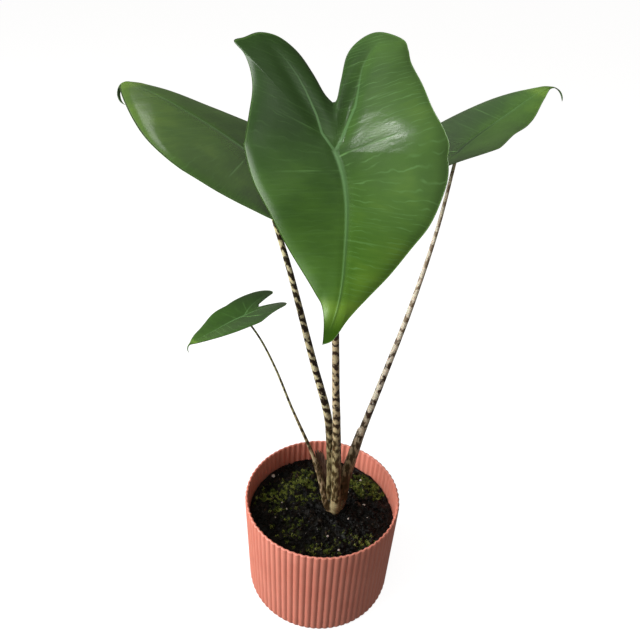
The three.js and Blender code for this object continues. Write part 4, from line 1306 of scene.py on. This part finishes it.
def blade_surface(which):
    """Rings of the outline round the joint. Upper face: half a thickness up the normal plus the
    quilting, dips and cords. Lower face: half a thickness down plus the ribs' bulges."""
    blade = BLADES[which]
    length = blade["length"]
    size = min(1.0, length / FRONT_LENGTH)
    outline = leaf_outline(which, SPOKES[which])
    count = len(outline)
    ring = np.linspace(0, 1, RINGS[which] + 1)[1:] ** 0.92
    x = np.concatenate([[0], (ring[:, None] * outline[None, :, 0]).ravel()])
    y = np.concatenate([[0], (ring[:, None] * outline[None, :, 1]).ravel()])
    edge = np.concatenate([[0], np.repeat(ring, count)])

    middle = sheet_point(blade, x, y, edge)
    step = 0.05
    forward = sheet_point(blade, x, y + step, edge) - sheet_point(blade, x, y - step, edge)
    sideways = sheet_point(blade, x + step, y, edge) - sheet_point(blade, x - step, y, edge)
    normal = np.cross(forward, sideways)
    normal /= np.linalg.norm(normal, axis=1)[:, None]

    wide, narrow = MIDRIB[which]
    half_width = wide + (narrow - wide) * np.clip(y / length, 0, 1) ** 0.7
    mid = x / half_width
    hind_sides = {}
    for side in (1, -1):
        distance, along = rib_distance(hind_rib_course(which, side), x, y)
        rib_width = wide * (0.62 if side < 0 else 0.8) * np.clip(1 - along / (0.78 * length), 0.3, 1)
        hind_sides[side] = distance / rib_width
    hind = np.minimum(np.abs(hind_sides[1]), np.abs(hind_sides[-1]))
    mid_reach = np.where(y < 0, np.hypot(x, y) / half_width, np.abs(mid))
    vein = vein_place(which, x, y)
    scale = length / FRONT_LENGTH
    lateral = np.zeros_like(x)
    gap = np.zeros_like(x)
    shows = np.zeros_like(x)
    for side in (1, -1):
        mine = (x >= 0) if side > 0 else (x < 0)
        places = np.array(SIDE_VEINS[side]) * scale
        lateral[mine] = np.interp(vein[mine], places, np.arange(len(places)))
        gap[mine] = np.interp(vein[mine], (places[1:] + places[:-1]) / 2, np.diff(places))
        shows[mine] = np.array(VEIN_SHOWS[side])[np.round(lateral[mine]).astype(int)]
    shows *= 1 - smooth(np.abs(x) / length, 0.24, 0.4)

    flow = np.stack([x, vein, np.zeros_like(x)], axis=1)
    forward_share = y / length
    nearest = np.minimum(mid_reach, hind)
    inner = 1 - smooth(edge, 0.86, 1.0)
    tail = 1 - smooth(forward_share, 0.84, 0.94)
    pillow = np.abs(np.sin(math.pi * lateral)) ** 0.7 * smooth(nearest, 0.8, 5.0)
    left_side = smooth(-x / length, -0.02, 0.1)
    calm = 1 - 0.75 * left_side
    dip = (bell(mid_reach / 3.0) * (0.2 + 0.8 * (1 - edge))
           + 0.5 * calm * bell(hind / 3.2) * inner)
    cord = bell(mid_reach / 0.85) + 0.5 * calm * bell(hind / 0.85) * inner
    past_middle = smooth(forward_share, 0.2, 0.45) * (1 - smooth(forward_share, 0.52, 0.75))
    wide_roll = 0.05 + 1.9 * left_side * past_middle
    thin_roll = 0.35 + 0.45 * smooth(forward_share, -0.1, 0.1)
    curl = (wide_roll * (np.clip(edge - 0.58, 0, 1) / 0.42) ** 2
            + thin_roll * (np.clip(edge - 0.9, 0, 1) / 0.1) ** 2)
    from_dome = np.hypot(x - DOME_PLACE[0], y - DOME_PLACE[1])
    dome = DOME_HEIGHT * bell(from_dome / DOME_WIDTH) * (which == "front")
    slow = lattice_noise(flow, 17.0, 51) * smooth(np.hypot(x, y), 4, 20)
    quilted = (0.09 * pillow + 0.1 * slow) * calm * inner
    fine = size * tail * (quilted + dome - 0.45 * dip + 0.22 * cord - curl)
    rightness = smooth(x / length, -0.12, 0.24)
    behind, ahead, painted_sheen = (low + (high - low) * rightness for low, high in HALVES[which])
    # Painted light and shade for each half, and a painted light stripe near the tip.
    painted_light_and_shade = behind + (ahead - behind) * smooth(forward_share, -0.3, 0.25)
    painted_light_and_shade += 0.25 * smooth(forward_share, 0.74, 0.82)
    # On the front leaf the painted sheen fades out towards the tip.
    if which == "front":
        painted_sheen = painted_sheen * (1 - smooth(forward_share, 0.1, 0.7))
    below_ribs = 1.25 * bell(mid_reach / 1.3) * (1 - 0.6 * edge) + 0.8 * bell(hind / 1.4) * inner
    bulge = size * tail * (below_ribs + 0.25 * bell((lateral - np.round(lateral)) * gap / 0.9) * inner)
    thin = THICKNESS * (1 - 0.35 * edge ** 6)
    upper = middle + normal * (thin / 2 + fine)[:, None]
    lower = middle + normal * (fine - thin / 2 - bulge)[:, None]

    rim = (RINGS[which] - 1) * count + 1 + np.arange(count)
    outwards = middle[rim] - middle[rim - count]
    outwards /= np.linalg.norm(outwards, axis=1)[:, None]
    margin = (upper[rim] + lower[rim]) / 2 + outwards * 0.14
    points = np.concatenate([upper, lower, margin])
    quads = grid_quads(RINGS[which], count, closed=True, first=1)
    total = len(upper)
    edge_line = 2 * total + np.arange(count)
    wall_up = np.stack([rim, edge_line, np.roll(edge_line, -1), np.roll(rim, -1)], axis=-1)
    wall_down = np.stack([edge_line, rim + total, np.roll(rim, -1) + total, np.roll(edge_line, -1)], axis=-1)
    first = np.arange(1, count + 1)
    blocks = [quads, quads[:, ::-1] + total, fan(first[::-1], 0), fan(first, 0) + total, wall_up, wall_down]

    # The right half is smoother, and its fine veins are drawn plain there as painted highlight.
    polish_and_painted_highlight = 0.25 + 0.75 * smooth(x / length, -0.02, 0.06)
    # Painted shade along the right leaf's midrib fold, from the joint to about halfway.
    painted_crease_shade = (1 - smooth(forward_share, 0.3, 0.5)) * (which == "right")
    values = {
        "midrib": mid, "hind_right": hind_sides[1], "hind_left": hind_sides[-1], "lateral": lateral,
        "lateral_gap": gap, "vein_shows": shows, "flow": flow, "edge": edge, "along": forward_share,
        "painted_light_and_shade": painted_light_and_shade, "painted_sheen": painted_sheen, "polish_and_painted_highlight": polish_and_painted_highlight, "fine_veins": FINE_VEINS[which] * polish_and_painted_highlight,
        "painted_crease_shade": painted_crease_shade,
    }
    attributes = {name: np.concatenate([value, value, value[rim]]) for name, value in values.items()}
    attributes["below"] = np.concatenate([np.zeros(total), np.ones(total), np.full(count, 0.3)])
    return points, blocks, attributes


# %% [markdown]
# ### Leaf skin
#
# The upper skin is dark green under a thin wax, smooth enough to mirror a window as a broad
# grey-green sheen. One half of each leaf is dustier and mirrors less. The pale ribs have less
# green under them. Fine streaks follow the side veins: in the leaf they are about half a
# millimetre apart, and they are drawn at 2.6 mm so that they show. Thin broken veins run with
# them every 3 mm, plainest on the front leaf and, as painted highlight, on the polished half. The
# margin is a little lighter and the tip yellower. Each half is painted lighter or darker for the
# light on it, a grey-green sheen is painted on, and the right leaf's midrib fold is painted dark
# as shade. Below, the skin is paler and matt.

# %% Waxy leaf material
leaf_skin, tree, surface = new_material("waxy_alocasia_leaf", {"IOR": 1.45, "Specular IOR Level": 0.5})
flow = carried(tree, "flow", "Vector")
along, edge, below = (carried(tree, name) for name in ("along", "edge", "below"))

# The midrib shows ahead of the joint and pales away towards the tip, the hind ribs behind it.
mid_line = ranged(tree, maths(tree, "ABSOLUTE", carried(tree, "midrib")), 1.7, 0.5)
mid_fade = ranged(tree, along, 0.05, 0.9, 0.9, 0.2)
mid_mask = product(tree, mid_line, ranged(tree, along, -0.02, 0.005), mid_fade)
from_right, from_left = (maths(tree, "ABSOLUTE", carried(tree, f"hind_{side}")) for side in ("right", "left"))
hind_line = ranged(tree, maths(tree, "MINIMUM", from_right, from_left), 1.2, 0.6)
hind_fade = ranged(tree, edge, 0.15, 0.92, 0.8, 0.0)
hind_mask = product(tree, hind_line, ranged(tree, along, 0.01, -0.02), hind_fade)
rib_mask = maths(tree, "MAXIMUM", mid_mask, hind_mask)

# In flow coordinates, in mm: streaks 15 mm long, about 2.6 mm apart and a little wavy, clouds of
# some 30 mm, and flecks of 3 by 1.6 mm, which crumple the wax.
streak = noise(tree, stretched(tree, flow, 1 / 15, 1 / 2.6, 1), 1.0, 3.0, Distortion=0.35)
cloud = noise(tree, stretched(tree, flow, 1 / 34, 1 / 26, 1))
fleck = noise(tree, stretched(tree, flow, 1 / 3.2, 1 / 1.6, 1), 1.0, 3.0)

# A side vein is a line 0.9 mm wide where it shows plainly, and no line at all on most of the leaf.
to_vein = product(tree, maths(tree, "PINGPONG", carried(tree, "lateral"), 0.5), carried(tree, "lateral_gap"))
vein_line = ranged(tree, to_vein, 0.75, 0.15)
pick = noise(tree, stretched(tree, flow, 1 / 12, 1 / 7, 1, Location=(3.1, 1.7, 0)), 1.0, 1.0)
vein_mask = product(tree, ranged(tree, pick, 0.25, 0.6), carried(tree, "vein_shows"), vein_line)

# Fine veins leave the ribs every 3 mm or so, wavy and broken: distance to the nearest whole count.
wobble = noise(tree, stretched(tree, flow, 1 / 13, 1 / 8, 1))
count = product(tree, (add(tree, "ShaderNodeSeparateXYZ", {"Vector": flow}), "Y"), 1 / 3.1)
from_line = maths(tree, "PINGPONG", maths(tree, "MULTIPLY_ADD", wobble, 1.9, count), 0.5)
unbroken = ranged(tree, from_line, 0.14, 0.03, 0.0, 0.62)
kept = ranged(tree, noise(tree, stretched(tree, flow, 1 / 13, 1 / 3.4, 1), 1.0, 1.0), 0.42, 0.68)
# Painted highlight: fine veins are drawn plain only on the polished half.
hair_lines = product(tree, unbroken, kept, carried(tree, "fine_veins"))

# The green lightens towards the tip, and by the painted light and shade of each half.
lighter = maths(tree, "ADD", carried(tree, "painted_light_and_shade"), ranged(tree, along, -0.3, 0.8, 0.17, 0.47))
streaked = maths(tree, "MULTIPLY_ADD", streak, 0.14, lighter)
lightness = maths(tree, "MULTIPLY_ADD", cloud, 0.42, streaked)
skin = ramp(tree, lightness, (0.3, "#223e10"), (0.5, "#2d4f13"), (0.7, "#40661b"), (0.95, "#608327"))
skin = tinted(tree, ranged(tree, edge, 0.975, 1.0, 0.0, 0.5), skin, "#5d843a")
skin = tinted(tree, maths(tree, "MAXIMUM", vein_mask, hair_lines), skin, "#5d8846")
# On the right leaf the midrib lies in a fold whose shade is painted: the rib is drawn dark green there.
skin = tinted(tree, rib_mask, skin, tinted(tree, carried(tree, "painted_crease_shade"), "#577f49", "#16330b"))
skin = tinted(tree, ranged(tree, along, 0.82, 0.93), skin, "#2f5400")
# A whitish grey-green is mixed in as painted sheen.
skin = tinted(tree, carried(tree, "painted_sheen"), skin, "#a5b3a3")
underside = tinted(tree, rib_mask, "#587a49", "#8ba673")
feed(surface, "Base Color", tinted(tree, below, skin, underside))

# Dust dulls the half of each leaf that has no polish.
wax = ranged(tree, fleck, 0.3, 0.75, 0.15, 0.21)
dulled = maths(tree, "ADD", wax, ranged(tree, carried(tree, "polish_and_painted_highlight"), 1.0, 0.25, 0.0, 0.2))
feed(surface, "Roughness", between(tree, below, dulled, 0.6))
height = maths(tree, "MULTIPLY_ADD", vein_mask, -0.4, streak)
feed(surface, "Normal", bump(tree, maths(tree, "MULTIPLY_ADD", fleck, 0.6, height), 0.13, 0.0005))

# %% The four blades
for which in BLADES:
    points, blocks, attributes = blade_surface(which)
    make_piece(f"leaf_{which}", points, blocks, leaf_skin, [f"blade_{which}"], attributes)

# %% [markdown]
# ## Size and finish
#
# The dressed plant should be as big as the imported one, so the difference between both boxes is
# printed.

# %% Boxes of both models
VISUAL_BOX = [list(corner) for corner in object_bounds()]
box_change = (np.array(VISUAL_BOX) - np.array(CAD_BOX)) / MM
print("visual box minus packed box in mm:", box_change.round(2).tolist())
